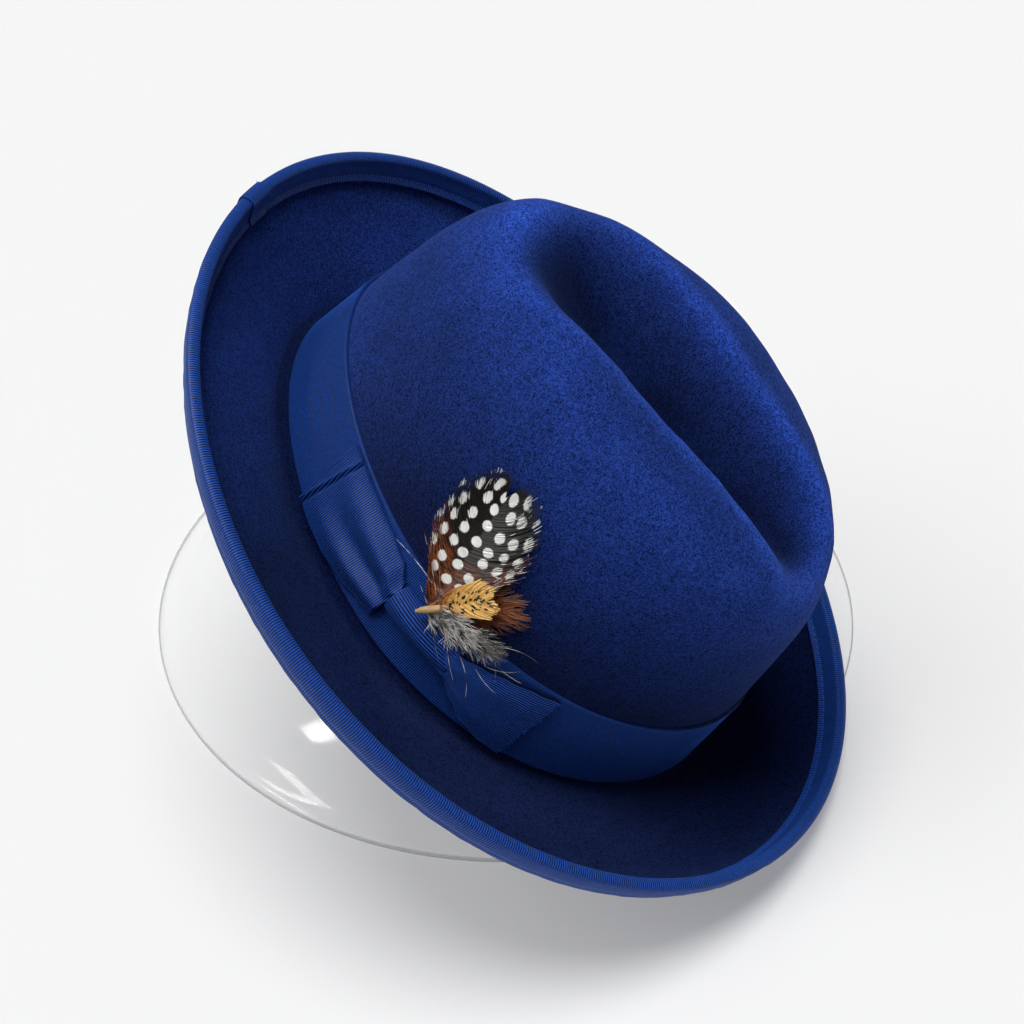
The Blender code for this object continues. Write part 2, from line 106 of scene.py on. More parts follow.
def crown_point(turn, rho, zeta):
    u, v = head_oval(turn)
    half_length = (HEAD_LENGTH + zeta * (CROWN_TOP_LENGTH - HEAD_LENGTH)) / 2
    half_width = (HEAD_WIDTH + zeta * (CROWN_TOP_WIDTH - HEAD_WIDTH)) / 2
    y = half_length * rho * v
    backwards = y / (HEAD_LENGTH / 2)
    x = half_width * rho * u * (1 + HEAD_BACK_FULLNESS * backwards)
    z = CROWN_HEIGHT * zeta * (1 - CROWN_FALL * backwards)
    y = y - CROWN_LEAN * zeta
    return np.stack((x, y, z - dent(x, y)), axis=-1)


def wall_point(turn, up):
    """Point of the crown's wall at a height above the head opening."""
    backwards = head_oval(turn)[1]
    zeta = np.clip(up / (CROWN_HEIGHT * (1 - CROWN_FALL * backwards)), 0.0, 0.995)
    rho = (1 - zeta**SHOULDER_POWER) ** (1 / SHOULDER_POWER)
    return crown_point(turn, rho, zeta)


def unit(vectors):
    return vectors / np.linalg.norm(vectors, axis=-1, keepdims=True)


def off_wall(turn, up, out):
    """Point that stands a distance off the crown's wall."""
    turn, up, out = np.broadcast_arrays(turn, up, out)
    step = 0.01
    sideways = wall_point(turn + step, up) - wall_point(turn - step, up)
    upwards = wall_point(turn, up + step * CROWN_HEIGHT) - wall_point(turn, up)
    return wall_point(turn, up) + unit(np.cross(sideways, upwards)) * out[..., None]


def bisect(function, low, high):
    """Where a rising function of an array crosses zero."""
    for _ in range(40):
        middle = (low + high) / 2
        below = function(middle) < 0
        low, high = np.where(below, middle, low), np.where(below, high, middle)
    return (low + high) / 2


def bend(section, radius, start, end, steps):
    """Carry a section on along an arc from one slope to another."""
    out, up = section[-1]
    for step in range(1, steps + 1):
        slope = start + (end - start) * step / steps
        section.append((
            out + radius * (np.sin(slope) - np.sin(start)),
            up + radius * (np.cos(start) - np.cos(slope)),
        ))


def brim_section(width, height, edge_slope, lean, break_rows=8, flat_rows=14, curl_rows=8, bound_rows=12):
    """Sections of the brim's upper face, from the crown's foot to the felt's edge."""
    foot_slope = lean - math.pi / 2

    def flat_length(slope):
        break_out = BRIM_BREAK_RADIUS * (np.sin(slope) - np.sin(foot_slope))
        curl_out = CURL_RADIUS * (np.sin(edge_slope) - np.sin(slope))
        return (width - break_out - curl_out) / np.cos(slope)

    def too_high(slope):
        break_up = BRIM_BREAK_RADIUS * (np.cos(foot_slope) - np.cos(slope))
        curl_up = CURL_RADIUS * (np.cos(slope) - np.cos(edge_slope))
        return break_up + curl_up + flat_length(slope) * np.sin(slope) - height

    slope = bisect(too_high, np.full_like(width, -0.5), np.full_like(width, 1.0))
    binding_slope = edge_slope - BINDING_WIDTH / CURL_RADIUS
    section = [(0 * width, 0 * width)]
    bend(section, BRIM_BREAK_RADIUS, foot_slope, slope, break_rows)
    out, up = section[-1]
    for row in range(1, flat_rows + 1):
        run = flat_length(slope) * row / flat_rows
        section.append((out + run * np.cos(slope), up + run * np.sin(slope)))
    bend(section, CURL_RADIUS, slope, binding_slope, curl_rows)
    bend(section, CURL_RADIUS, binding_slope, edge_slope, bound_rows)
    return section[1:]


def felt_rows(columns):
    """The felt's outer face as rows of points, from beside the crown's top to the edge."""
    turn = 2 * math.pi * np.arange(columns) / columns
    rows = []
    for row in range(1, CROWN_ROWS + 1):
        angle = math.pi / 2 * (1 - row / CROWN_ROWS)
        size = (math.cos(angle) ** SHOULDER_POWER + math.sin(angle) ** SHOULDER_POWER) ** (1 / SHOULDER_POWER)
        rows.append(crown_point(turn, math.cos(angle) / size, math.sin(angle) / size))
    foot = rows[-1]
    above = wall_point(turn, CROWN_HEIGHT / 10)
    lean = np.arctan2(np.linalg.norm((foot - above)[:, :2], axis=1), above[:, 2] - foot[:, 2])
    stack = FELT + GAP + RIBBON
    edge = np.stack((
        -np.sin(turn) * (BRIM_WIDTH / 2 - stack),
        np.cos(turn) * (BRIM_LENGTH / 2 - stack) - BRIM_SHIFT,
    ), axis=-1)
    reach = edge - foot[:, :2]
    width = np.linalg.norm(reach, axis=1)
    height = around(BRIM_EDGE, np.cos(turn)) - GAP - RIBBON
    slope = np.radians(around(BRIM_SLOPE, np.cos(turn)))
    for out, up in brim_section(width, height, slope, lean):
        flat = foot[:, :2] + reach / width[:, None] * out[:, None]
        rows.append(np.column_stack((flat, up)))
    return np.array(rows)


def face_normals(rows):
    """Outward normals of the felt's rows, and the direction in which each row goes on."""
    top = np.tile(crown_point(0.0, 0.0, 1.0), (1, rows.shape[1], 1))
    padded = np.concatenate((top, rows, 2 * rows[-1:] - rows[-2:-1]))
    down = padded[2:] - padded[:-2]
    sideways = np.roll(rows, -1, axis=1) - np.roll(rows, 1, axis=1)
    return unit(np.cross(down, sideways)), unit(down)


# The hat is tipped back and to the right, and its felt is then moved onto the felt of
# the frame, which is already leaning on the stand.
c, s = math.cos(FRONT_RAISED), math.sin(FRONT_RAISED)
raise_front = np.array(((1, 0, 0), (0, c, s), (0, -s, c)))
c, s = math.cos(RIGHT_DROPPED), math.sin(RIGHT_DROPPED)
drop_right = np.array(((c, 0, -s), (0, 1, 0), (s, 0, c)))
tipped = raise_front @ drop_right
rows = felt_rows(FELT_COLUMNS)
normals, downwards = face_normals(rows)
inner_rows = rows - FELT * normals
leaning = np.concatenate((rows, inner_rows)).reshape(-1, 3) @ tipped.T
low, high = (np.array(corner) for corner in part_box("felt_body"))
hat_place = (low + high) / 2 - (leaning.min(axis=0) + leaning.max(axis=0)) / 2


def into_place(points):
    """From the hat's own frame to where the hat leans."""
    return np.asarray(points) @ tipped.T + hat_place


def wander(points, size, seed):
    """Smooth wandering value between about -1 and 1, whose waves are about size long."""
    draw = np.random.default_rng(seed)
    total = np.zeros(points.shape[:-1])
    for _ in range(7):
        wave = draw.normal(size=3)
        wave *= 2 * math.pi / size * draw.uniform(0.7, 1.4) / np.linalg.norm(wave)
        total += np.sin(points @ wave + draw.uniform(0, 2 * math.pi))
    return total / 3.2


def make_mesh(name, points, faces, material, smooth_under=40.0, spread=None, length=None):
    """An object from points and faces. spread is where each point lies on the flat, and
    length is that of a ribbon whose end meets its start."""
    mesh = bpy.data.meshes.new(name)
    mesh.from_pydata([tuple(point) for point in points], [], faces)
    mesh.update()
    if spread is not None:
        corners = np.empty(len(mesh.loops), dtype=np.int32)
        mesh.loops.foreach_get("vertex_index", corners)
        layer = mesh.uv_layers.new(name="spread")
        flat = np.reshape(spread, (-1, 2))[corners]
        if length:
            run = flat[:, 0].reshape(-1, 4)
            run = run + length * (run.max(axis=1, keepdims=True) - run > length / 2)
            flat[:, 0] = run.ravel()
        layer.data.foreach_set("uv", flat.ravel())
    mesh.materials.append(material)
    mesh.shade_smooth()
    mesh.set_sharp_from_angle(angle=math.radians(smooth_under))
    made = bpy.data.objects.new(name, mesh)
    bpy.context.collection.objects.link(made)
    return made


def new_finish(name):
    """A fresh material with its Principled shader, and a quick way to add steps to it."""
    finish = bpy.data.materials.new(name)
    finish.use_nodes = True
    tree = finish.node_tree

    def step(kind, feeds=(), out=0, **settings):
        made = tree.nodes.new("ShaderNode" + kind)
        for setting, value in settings.items():
            setattr(made, setting, value)
        for socket, feed in dict(feeds).items():
            if isinstance(feed, bpy.types.NodeSocket):
                tree.links.new(feed, made.inputs[socket])
            else:
                made.inputs[socket].default_value = feed
        return made.outputs[out]

    shader = tree.nodes["Principled BSDF"]
    return finish, shader, step, tree.links.new


def felt_finish():
    """Dyed wool: short curled hairs, lighter where they stand up, over a dark ground."""
    finish, shader, step, link = new_finish("brushed_felt")
    place = step("TexCoord", out="Object")

    def hairs(scale, width, twist):
        curl = step("TexNoise", {"Vector": place, "Scale": scale, "Detail": 2.0, "Distortion": twist}, "Fac")
        line = step("Math", {0: step("Math", {0: curl, 1: 0.5}, operation="SUBTRACT")}, operation="ABSOLUTE")
        return step("MapRange", {"Value": line, "From Min": 0.0, "From Max": width, "To Min": 1.0, "To Max": 0.0})

    long_hairs = hairs(760.0, 0.075, 1.2)
    short_hairs = hairs(1250.0, 0.10, 0.6)
    nap = step("Math", {0: long_hairs, 1: short_hairs}, operation="ADD")
    nap = step("MapRange", {"Value": nap, "From Min": 0.15, "From Max": 1.7})
    cloud = step("TexNoise", {"Vector": place, "Scale": 60.0, "Detail": 3.0}, "Fac")
    cloud = step("MapRange", {"Value": cloud, "From Min": 0.3, "From Max": 0.7, "To Min": 0.88, "To Max": 1.10})
    shade = step("Mix", {"Factor": nap, "A": (0.0017, 0.0068, 0.048, 1), "B": (0.0150, 0.0460, 0.262, 1)},
                 out="Result", data_type="RGBA")
    # Painted light and shade, read from the point attribute: lighter on crests and low at the front, darker low down
    # elsewhere.
    painted_shading = step("Attribute", out="Fac", attribute_name="painted_light_shade")
    painted_shading = step("MapRange", {"Value": painted_shading, "From Min": 0.18, "From Max": 0.85, "To Min": 0.36, "To Max": 3.50})
    painted_shading = step("Math", {0: painted_shading, 1: cloud}, operation="MULTIPLY")
    colour = step("VectorMath", {0: shade, 1: painted_shading}, operation="MULTIPLY")
    link(colour, shader.inputs["Base Color"])
    shader.inputs["Roughness"].default_value = 0.92
    shader.inputs["Specular IOR Level"].default_value = 0.06
    shader.inputs["Sheen Weight"].default_value = 0.16
    shader.inputs["Sheen Roughness"].default_value = 0.45
    shader.inputs["Sheen Tint"].default_value = (0.16, 0.30, 0.90, 1)
    raised = step("Bump", {"Strength": 0.6, "Distance": 0.00030, "Height": nap}, "Normal")
    link(raised, shader.inputs["Normal"])
    return finish


brushed_felt = felt_finish()


def crests(rows, normals):
    """From 0 in a tight hollow to 1 on a sharp crest, smoothed over the neighbours."""
    bent = np.zeros(rows.shape[:2])
    for step in (3, 6):
        before, after = np.roll(rows, step, axis=1), np.roll(rows, -step, axis=1)
        sag = np.sum(((before + after) / 2 - rows) * normals, axis=2)
        bent -= 2 * sag / (np.linalg.norm(after - before, axis=2) / 2 + 0.004) ** 2
        index = np.arange(len(rows))
        before, after = rows[np.maximum(index - step, 0)], rows[np.minimum(index + step, len(rows) - 1)]
        sag = np.sum(((before + after) / 2 - rows) * normals, axis=2)
        bent -= 2 * sag / (np.linalg.norm(after - before, axis=2) / 2 + 0.004) ** 2
    return 1 / (1 + np.exp(-(bent - 40) / 45))


def felt_body():
    """Both faces of the felt, a little uneven away from the band and the binding, with painted highlight on the
    crests, painted light low at the front and painted shade low elsewhere.
    """
    points = np.concatenate((rows, inner_rows[::-1]))
    both = np.concatenate((normals, normals[::-1]))
    crown_share = np.clip((points[..., 2] - 0.040) / 0.02, 0, 1)
    reach = np.linalg.norm(points[..., :2] / (HEAD_WIDTH / 2, HEAD_LENGTH / 2), axis=-1)
    brim_share = np.clip((reach - 1.10) / 0.06, 0, 1) * np.clip((1.36 - reach) / 0.08, 0, 1)
    soft = 0.0005 * wander(points, 0.055, 3) + 0.0002 * wander(points, 0.021, 4)
    points = points + both * (soft * np.maximum(crown_share, brim_share))[..., None]
    count = points.shape[1]
    # Painted highlight on the crests, and painted light on the lower crown and brim at the front with painted shade
    # there elsewhere.
    low_down = np.clip((0.085 - rows[..., 2]) / 0.05, 0, 1)
    front = np.clip((-rows[..., 1] - 0.03) / 0.08, 0, 1)
    painted_light_shade = crests(rows, normals) + low_down * (0.15 * front - 0.16 * (1 - front))
    painted_light_shade = np.concatenate((painted_light_shade, np.full(rows.shape[:2], 0.3)))
    painted_light_shade = np.concatenate((painted_light_shade.ravel(), (0.5, 0.3)))
    joined = points.reshape(-1, 3)
    top = crown_point(0.0, 0.0, 1.0)
    joined = np.concatenate((joined, [top, top - (0, 0, FELT)]))
    faces = []
    for row in range(len(points) - 1):
        for column in range(count):
            here, after = row * count + column, row * count + (column + 1) % count
            faces.append((here, here + count, after + count, after))
    last = (len(points) - 1) * count
    for column in range(count):
        after = (column + 1) % count
        faces.append((len(joined) - 2, column, after))
        faces.append((last + column, len(joined) - 1, last + after))
    made = make_mesh("felt_hood", into_place(joined), faces, brushed_felt)
    shade = made.data.attributes.new("painted_light_shade", "FLOAT", "POINT")
    shade.data.foreach_set("value", painted_light_shade)
    return made


hood = felt_body()
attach(hood, "root")
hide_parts("felt_body")


# BRIM BINDING
# A 25 mm grosgrain ribbon folded over the felt's edge, half on each face, and sewn
# through with one row of small stitches near its inner edge. Its ribs run across it,
# and its two cut ends overlap at the front.
RIB_PITCH = 0.00076
RIB_RISE = 0.00014
EDGE_RIB_PITCH = 0.00090
STITCH_UP = 0.0026
STITCH_PITCH = 0.0030
SEAM_COLUMN = 154.0
SEAM_LAP = 4.0


def ring_quads(count, size, closed):
    """Faces of rows of points that are each a closed loop of the same size."""
    row = np.arange(count if closed else count - 1)[:, None] * size
    corner = np.arange(size)
    after = (corner + 1) % size
    beyond = (row + size) % (count * size)
    return np.stack((row + corner, beyond + corner, beyond + after, row + after), axis=-1).reshape(-1, 4)


def loft(name, sections, spread, material, length=None, smooth_under=40.0):
    """Skin over closed sections that follow one another, each a face and a back of as many
    points. spread is each point's place on the flat ribbon, along it and across it. With
    a length the ribbon is a ring, and its last section meets its first."""
    count, size = sections.shape[:2]
    faces = ring_quads(count, size, bool(length)).tolist()
    if not length:
        for start, turned in ((0, 1), ((count - 1) * size, -1)):
            for corner in range(size // 2 - 1):
                cap = (corner, corner + 1, size - 2 - corner, size - 1 - corner)
                faces.append([start + point for point in cap[::turned]])
    points = into_place(sections.reshape(-1, 3))
    return make_mesh(name, points, faces, material, smooth_under, spread, length)


def flat_map(along, across):
    """The spread of a ribbon whose sections lie at along and whose points at across."""
    return np.stack(np.broadcast_arrays(np.reshape(along, (-1, 1)), np.reshape(across, (1, -1))), axis=-1)


def ribs(distance, pitch):
    """How far the ribs stand over the ground, from 0 to 1, at a distance across them."""
    return 0.5 + 0.5 * np.cos(2 * math.pi * np.asarray(distance) / pitch)


def ribbon_finish(name, ribs_run="across", pitch=RIB_PITCH, light=1.0, selvedge=None):
    """Grosgrain: round ribs, each with a painted highlight on its crest and painted shade in the groove beside it, and
    a soft silk sheen.
    A selvedge is the two edges' place across the ribbon, which are woven smooth."""
    finish, shader, step, link = new_finish(name)
    spread = step("TexCoord", out="UV")
    along = step("SeparateXYZ", {"Vector": spread}, 0)
    across = step("SeparateXYZ", {"Vector": spread}, 1)
    counted = along if ribs_run == "across" else across
    wave = step("Math", {0: counted, 1: 2 * math.pi / pitch}, operation="MULTIPLY")
    wave = step("Math", {0: wave}, operation="COSINE")
    rib = step("MapRange", {"Value": wave, "From Min": -0.75, "From Max": 0.55})
    stretch = (2600.0, 420.0, 1.0) if ribs_run == "across" else (420.0, 2600.0, 1.0)
    threads = step("VectorMath", {0: spread, 1: stretch}, operation="MULTIPLY")
    threads = step("TexNoise", {"Vector": threads, "Scale": 1.0, "Detail": 3.0}, "Fac")
    threads = step("MapRange", {"Value": threads, "From Min": 0.3, "From Max": 0.7, "To Min": 0.75, "To Max": 1.25})
    # Painted highlight on the rib crests and painted shade in the grooves.
    shade = step("Mix", {"Factor": rib, "A": (0.0005 * light, 0.0022 * light, 0.016 * light, 1),
                         "B": (0.0165 * light, 0.0740 * light, 0.370 * light, 1)},
                 out="Result", data_type="RGBA")
    if selvedge:
        middle, half = (selvedge[0] + selvedge[1]) / 2, (selvedge[1] - selvedge[0]) / 2
        from_middle = step("Math", {0: across, 1: middle}, operation="SUBTRACT")
        from_middle = step("Math", {0: from_middle}, operation="ABSOLUTE")
        edge = step("MapRange", {"Value": from_middle, "From Min": half - 0.0007, "From Max": half - 0.0004})
        shade = step("Mix", {"Factor": edge, "A": shade, "B": (0.0075, 0.0330, 0.180, 1)},
                     out="Result", data_type="RGBA")
    colour = step("VectorMath", {0: shade, 1: threads}, operation="MULTIPLY")
    link(colour, shader.inputs["Base Color"])
    shader.inputs["Roughness"].default_value = 0.50
    shader.inputs["Specular IOR Level"].default_value = 0.10
    shader.inputs["Sheen Weight"].default_value = 0.12
    shader.inputs["Sheen Roughness"].default_value = 0.35
    shader.inputs["Sheen Tint"].default_value = (0.20, 0.42, 1.0, 1)
    raised = step("Bump", {"Strength": 0.35, "Distance": 0.00010, "Height": rib}, "Normal")
    link(raised, shader.inputs["Normal"])
    return finish


edge_ribbon = ribbon_finish("edge_grosgrain", pitch=EDGE_RIB_PITCH, light=1.2)
stitch_thread = ribbon_finish("sewing_thread", pitch=0.0004, light=1.25)
SKIN = GAP + RIBBON


def press(distance, middle, width, amount):
    """How far a surface goes in or out beside a line that is middle away."""
    return amount * np.exp(-(((distance - middle) / width) ** 2))


def between_columns(grid, column):
    """The felt's rows of points or normals at places between its columns."""
    low = np.floor(column).astype(int)
    share = (column - low)[:, None]
    return grid[..., low % FELT_COLUMNS, :] * (1 - share) + grid[..., (low + 1) % FELT_COLUMNS, :] * share


def over_edge(column, lift):
    """The way over the felt's edge at a distance off it: from the ribbon's edge on the
    upper face, round the fold, to its edge underneath. Each line has its place across."""
    faces = between_columns(rows[-13:], column)
    out = between_columns(normals[-13:], column)
    onwards = between_columns(downwards[-1:], column)[0]
    place = np.linspace(0, BINDING_WIDTH, 13)
    shaped = press(place, STITCH_UP, 0.0009, -0.00045) + press(place, 0.0, 0.0012, 0.0002)
    off = lift + shaped[:, None] * (lift > GAP) + 0.00012 * wander(faces, 0.009, 11) * (lift > GAP)
    upper = faces + out * off[..., None]
    under = faces - out * (off + FELT)[..., None]
    lines, across = list(upper[:-1]), list(place[:-1])
    middle = faces[-1] - FELT / 2 * out[-1]
    radius = FELT / 2 + lift
    for angle in np.radians((0, 30, 60, 90, 120, 150, 180)):
        lines.append(middle + radius * math.cos(angle) * out[-1] + (GAP + (radius - FELT / 2) * math.sin(angle)) * onwards)
        across.append(BINDING_WIDTH + radius * angle)
    lines += list(under[-2::-1])
    across += list(2 * BINDING_WIDTH + radius * math.pi - place[-2::-1])
    return np.array(lines).swapaxes(0, 1), np.array(across)


def edge_run(column):
    """Distance along the felt's edge, stretched a little to a whole number of ribs."""
    steps = np.linalg.norm(np.roll(rows[-1], -1, axis=0) - rows[-1], axis=1)
    run = np.concatenate(((0,), np.cumsum(steps)))
    length = round(run[-1] / EDGE_RIB_PITCH) * EDGE_RIB_PITCH
    return np.interp(column, np.arange(FELT_COLUMNS + 1), run * length / run[-1]), length


def binding():
    column = np.arange(FELT_COLUMNS, dtype=float)
    face, across = over_edge(column, SKIN)
    back = over_edge(column, GAP)[0]
    run, length = edge_run(column)
    sections = np.concatenate((face, back[:, ::-1]), axis=1)
    spread = flat_map(run, np.concatenate((across, across[::-1])))
    return loft("edge_binding", sections, spread, edge_ribbon, length)


bound_edge = binding()
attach(bound_edge, "root")
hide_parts("brim_binding")


def strands(centres, outwards, widths, thick):
    """Thin hairs or threads with a three-cornered section, each closed at both ends.
    centres is strand by point; the ridge of each faces outwards."""
    along = unit(np.gradient(centres, axis=1) + 1e-12)
    sideways = unit(np.cross(outwards, along))
    half = np.asarray(widths)[..., None] / 2
    ridge = np.asarray(thick)[..., None] * unit(np.cross(along, sideways))
    corners = np.stack((centres - sideways * half, centres + sideways * half, centres + ridge), axis=2)
    count, length = centres.shape[:2]
    base = np.arange(count)[:, None, None] * length * 3
    quads = (base + ring_quads(length, 3, False)).reshape(-1, 4)
    start = np.arange(count)[:, None] * length * 3
    caps = np.concatenate((start + (2, 1, 0), start + (length - 1) * 3 + np.arange(3)))
    return corners.reshape(-1, 3), quads.tolist() + caps.tolist()


def stitches():
    """One row of stitches through the binding, sunk a little into the pressed line."""
    row = len(rows) - 13 + round(12 * STITCH_UP / BINDING_WIDTH)
    closed = np.concatenate((rows[row], rows[row][:1]))
    run = np.concatenate(((0,), np.cumsum(np.linalg.norm(np.diff(closed, axis=0), axis=1))))
    count = round(run[-1] / STITCH_PITCH)
    place = (np.arange(count)[:, None] + np.linspace(0.12, 0.80, 6)) * run[-1] / count
    column = np.interp(place, run, np.arange(len(run))).ravel()
    rise = np.tile((0.0, 0.00022, 0.00032, 0.00032, 0.00022, 0.0), count)[:, None]
    outwards = unit(between_columns(normals[row], column))
    centres = between_columns(rows[row], column) + outwards * (SKIN - 0.00050 + rise)
    widths = np.tile((0.00016, 0.00034, 0.0004, 0.0004, 0.00034, 0.00016), (count, 1))
    centres, outwards = centres.reshape(count, 6, 3), outwards.reshape(count, 6, 3)
    points, faces = strands(centres, outwards, widths, widths * 0.6)
    return make_mesh("binding_stitches", into_place(points), faces, stitch_thread, 60.0)


def overlap():
    """The ribbon's far end, laid over its near end at the front."""
    column = np.linspace(SEAM_COLUMN, SEAM_COLUMN + SEAM_LAP, 14)
    face, across = over_edge(column, SKIN + 0.0008)
    back = over_edge(column, SKIN + 0.0001)[0]
    sections = np.concatenate((face, back[:, ::-1]), axis=1)
    spread = flat_map(edge_run(column)[0], np.concatenate((across, across[::-1])))
    return loft("binding_overlap", sections, spread, edge_ribbon)


def cut_threads(name, starts, onwards, outwards, length, seed, material):
    """Ends of threads that stick out of a cut edge."""
    draw = np.random.default_rng(seed)
    count = len(starts)
    share = np.linspace(0, 1, 4)[None, :, None]
    lean = unit(onwards + 0.35 * draw.normal(size=(count, 3)))[:, None]
    bent = 0.4 * draw.normal(size=(count, 1, 3))
    reach = length * draw.uniform(0.4, 1.0, size=(count, 1, 1))
    centres = starts[:, None] + reach * (lean * share + bent * share**2)
    outwards = np.broadcast_to(outwards[:, None], centres.shape)
    widths = 0.00022 * (1 - 0.6 * share[..., 0]) * np.ones((count, 1))
    points, faces = strands(centres, outwards, widths, widths * 0.7)
    return make_mesh(name, into_place(points), faces, material, 60.0)


def overlap_threads():
    column = np.full(1, SEAM_COLUMN)
    edge = over_edge(column, SKIN + 0.0006)[0][0]
    out = unit(edge - over_edge(column, SKIN)[0][0])
    step = between_columns(rows[-1], column - 0.5)[0] - between_columns(rows[-1], column + 0.5)[0]
    place = np.random.default_rng(17).uniform(0, 20, size=70)
    low = place.astype(int)
    share = (place - low)[:, None]
    starts = edge[low] * (1 - share) + edge[low + 1] * share
    return cut_threads("overlap_threads", starts, np.tile(unit(step), (70, 1)), out[low], 0.0013, 18, stitch_thread)


lapped_end = overlap()
for piece in (stitches(), lapped_end, overlap_threads()):
    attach(piece, "root")


# HAT BAND
# A 33 mm grosgrain ribbon drawn tight round the foot of the crown. Its ribs run across
# it, and its two woven selvedges stand a little proud of them.
BAND_WIDTH = 0.0326
BAND_FOOT = 0.0004
COLUMNS_PER_RIB = 4
band_ribbon = ribbon_finish("band_grosgrain", selvedge=(0.0, BAND_WIDTH))


def hat_band():
    turn = np.linspace(0, 2 * math.pi, 2001)
    run = np.linalg.norm(np.diff(wall_point(turn, BAND_WIDTH / 2), axis=0), axis=1)
    run = np.concatenate(((0,), np.cumsum(run)))
    count = round(run[-1] / RIB_PITCH)
    length = count * RIB_PITCH
    along = np.arange(count * COLUMNS_PER_RIB) * RIB_PITCH / COLUMNS_PER_RIB
    turn = np.interp(along * run[-1] / length, run, turn)
    heights = np.array((1.0, 0.985, 0.965, 0.75, 0.50, 0.25, 0.035, 0.015, 0.0))
    loops, rib = [], RIB_RISE * ribs(along, RIB_PITCH)
    for share in heights:
        up = np.full_like(turn, BAND_FOOT + BAND_WIDTH * share)
        rise = rib if 0.02 < share < 0.98 else 0.00018 * (0.0 < share < 1.0)
        uneven = 0.00012 * (1 + wander(wall_point(turn, up), 0.05, 21))
        loops.append(off_wall(turn, up, GAP + RIBBON * 0.8 + uneven + rise))
    for share in heights[::-1]:
        if share in (0.0, 0.5, 1.0):
            loops.append(off_wall(turn, np.full_like(turn, BAND_FOOT + BAND_WIDTH * share), GAP))
    across = BAND_WIDTH * np.concatenate((heights, (0.0, 0.5, 1.0)))
    return loft("band_ribbon", np.array(loops).swapaxes(0, 1), flat_map(along, across), band_ribbon, length)


band = hat_band()
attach(band, "root")
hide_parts("hat_band")


# BOW
# A flat bow of the same ribbon on the wearer's left. The front wing is a folded loop
# whose low corner is cut free; the knot is a ribbon wrapped lengthwise round the pinched
# middle, and the back wing is its spread tail, with a cut end that frays a little.
FRONT_WING_START = -0.0560
FRONT_WING_END = -0.0050
BACK_WING_START = 0.0160
BACK_WING_END = 0.0540
KNOT_START = -0.0088
KNOT_END = 0.0200
BOW_LIFT = 0.0030
KNOT_LIFT = 0.0055
KNOT_MIDDLE = 0.0190
KNOT_WIDTH = 0.0125
TAIL_RIB_PITCH = 0.0010
FRONT_WING = (
    {"along": 0.00, "low": 0.02, "high": 0.97, "crest": 0.30, "valley": 0.30},
    {"along": 0.12, "low": 0.01, "high": 0.98, "crest": 0.50, "valley": 0.35},
    {"along": 0.34, "low": 0.02, "high": 0.97, "crest": 0.90, "valley": 0.25},
    {"along": 0.58, "low": 0.07, "high": 0.94, "crest": 1.15, "valley": 0.05},
    {"along": 0.78, "low": 0.14, "high": 0.88, "crest": 1.20, "valley": 0.05},
    {"along": 0.90, "low": 0.19, "high": 0.76, "crest": 1.10, "valley": 0.50},
    {"along": 0.92, "low": 0.44, "high": 0.71, "crest": 1.05, "valley": 0.90},
    {"along": 1.00, "low": 0.45, "high": 0.70, "crest": 1.05, "valley": 1.05},
)
BACK_WING = (
    {"along": 0.00, "low": 0.42, "high": 0.72, "crest": 1.10, "valley": 1.15},
    {"along": 0.13, "low": 0.41, "high": 0.74, "crest": 1.15, "valley": 1.15},
    {"along": 0.32, "low": 0.26, "high": 0.80, "crest": 1.10, "valley": 0.90},
    {"along": 0.55, "low": 0.12, "high": 0.88, "crest": 1.00, "valley": 0.80},
    {"along": 0.80, "low": 0.04, "high": 0.94, "crest": 0.65, "valley": 0.55},
    {"along": 1.00, "low": 0.01, "high": 0.97, "crest": 0.25, "valley": 0.20},
)
WING_COLUMNS = (
    {"up": 0.00, "crest": 0.00, "valley": 0.60},
    {"up": 0.22, "crest": 0.80, "valley": 0.00},
    {"up": 0.44, "crest": 0.00, "valley": 1.00},
    {"up": 0.72, "crest": 1.00, "valley": 0.00},
    {"up": 1.00, "crest": 0.00, "valley": 0.60},
)


def left_side(along, up, out):
    """Point off the wearer's left of the crown, by its distance back from the middle."""
    along, up, out = np.broadcast_arrays(np.asarray(along, float), np.asarray(up, float), np.asarray(out, float))
    low, high = np.full(along.shape, -math.pi), np.zeros(along.shape)
    turn = bisect(lambda angle: wall_point(angle, up)[..., 1] - along, low, high)
    return off_wall(turn, up, out)


def smooth_column(table, name, at, key="along"):
    """A column of a table read at any place, with rounded changes between its rows."""
    places = np.array([row[key] for row in table])
    values = np.array([row[name] for row in table])
    at = np.asarray(at, float)
    index = np.clip(np.searchsorted(places, at, side="right") - 1, 0, len(places) - 2)
    share = np.clip((at - places[index]) / (places[index + 1] - places[index]), 0, 1)
    share = share * share * (3 - 2 * share)
    return values[index] * (1 - share) + values[index + 1] * share


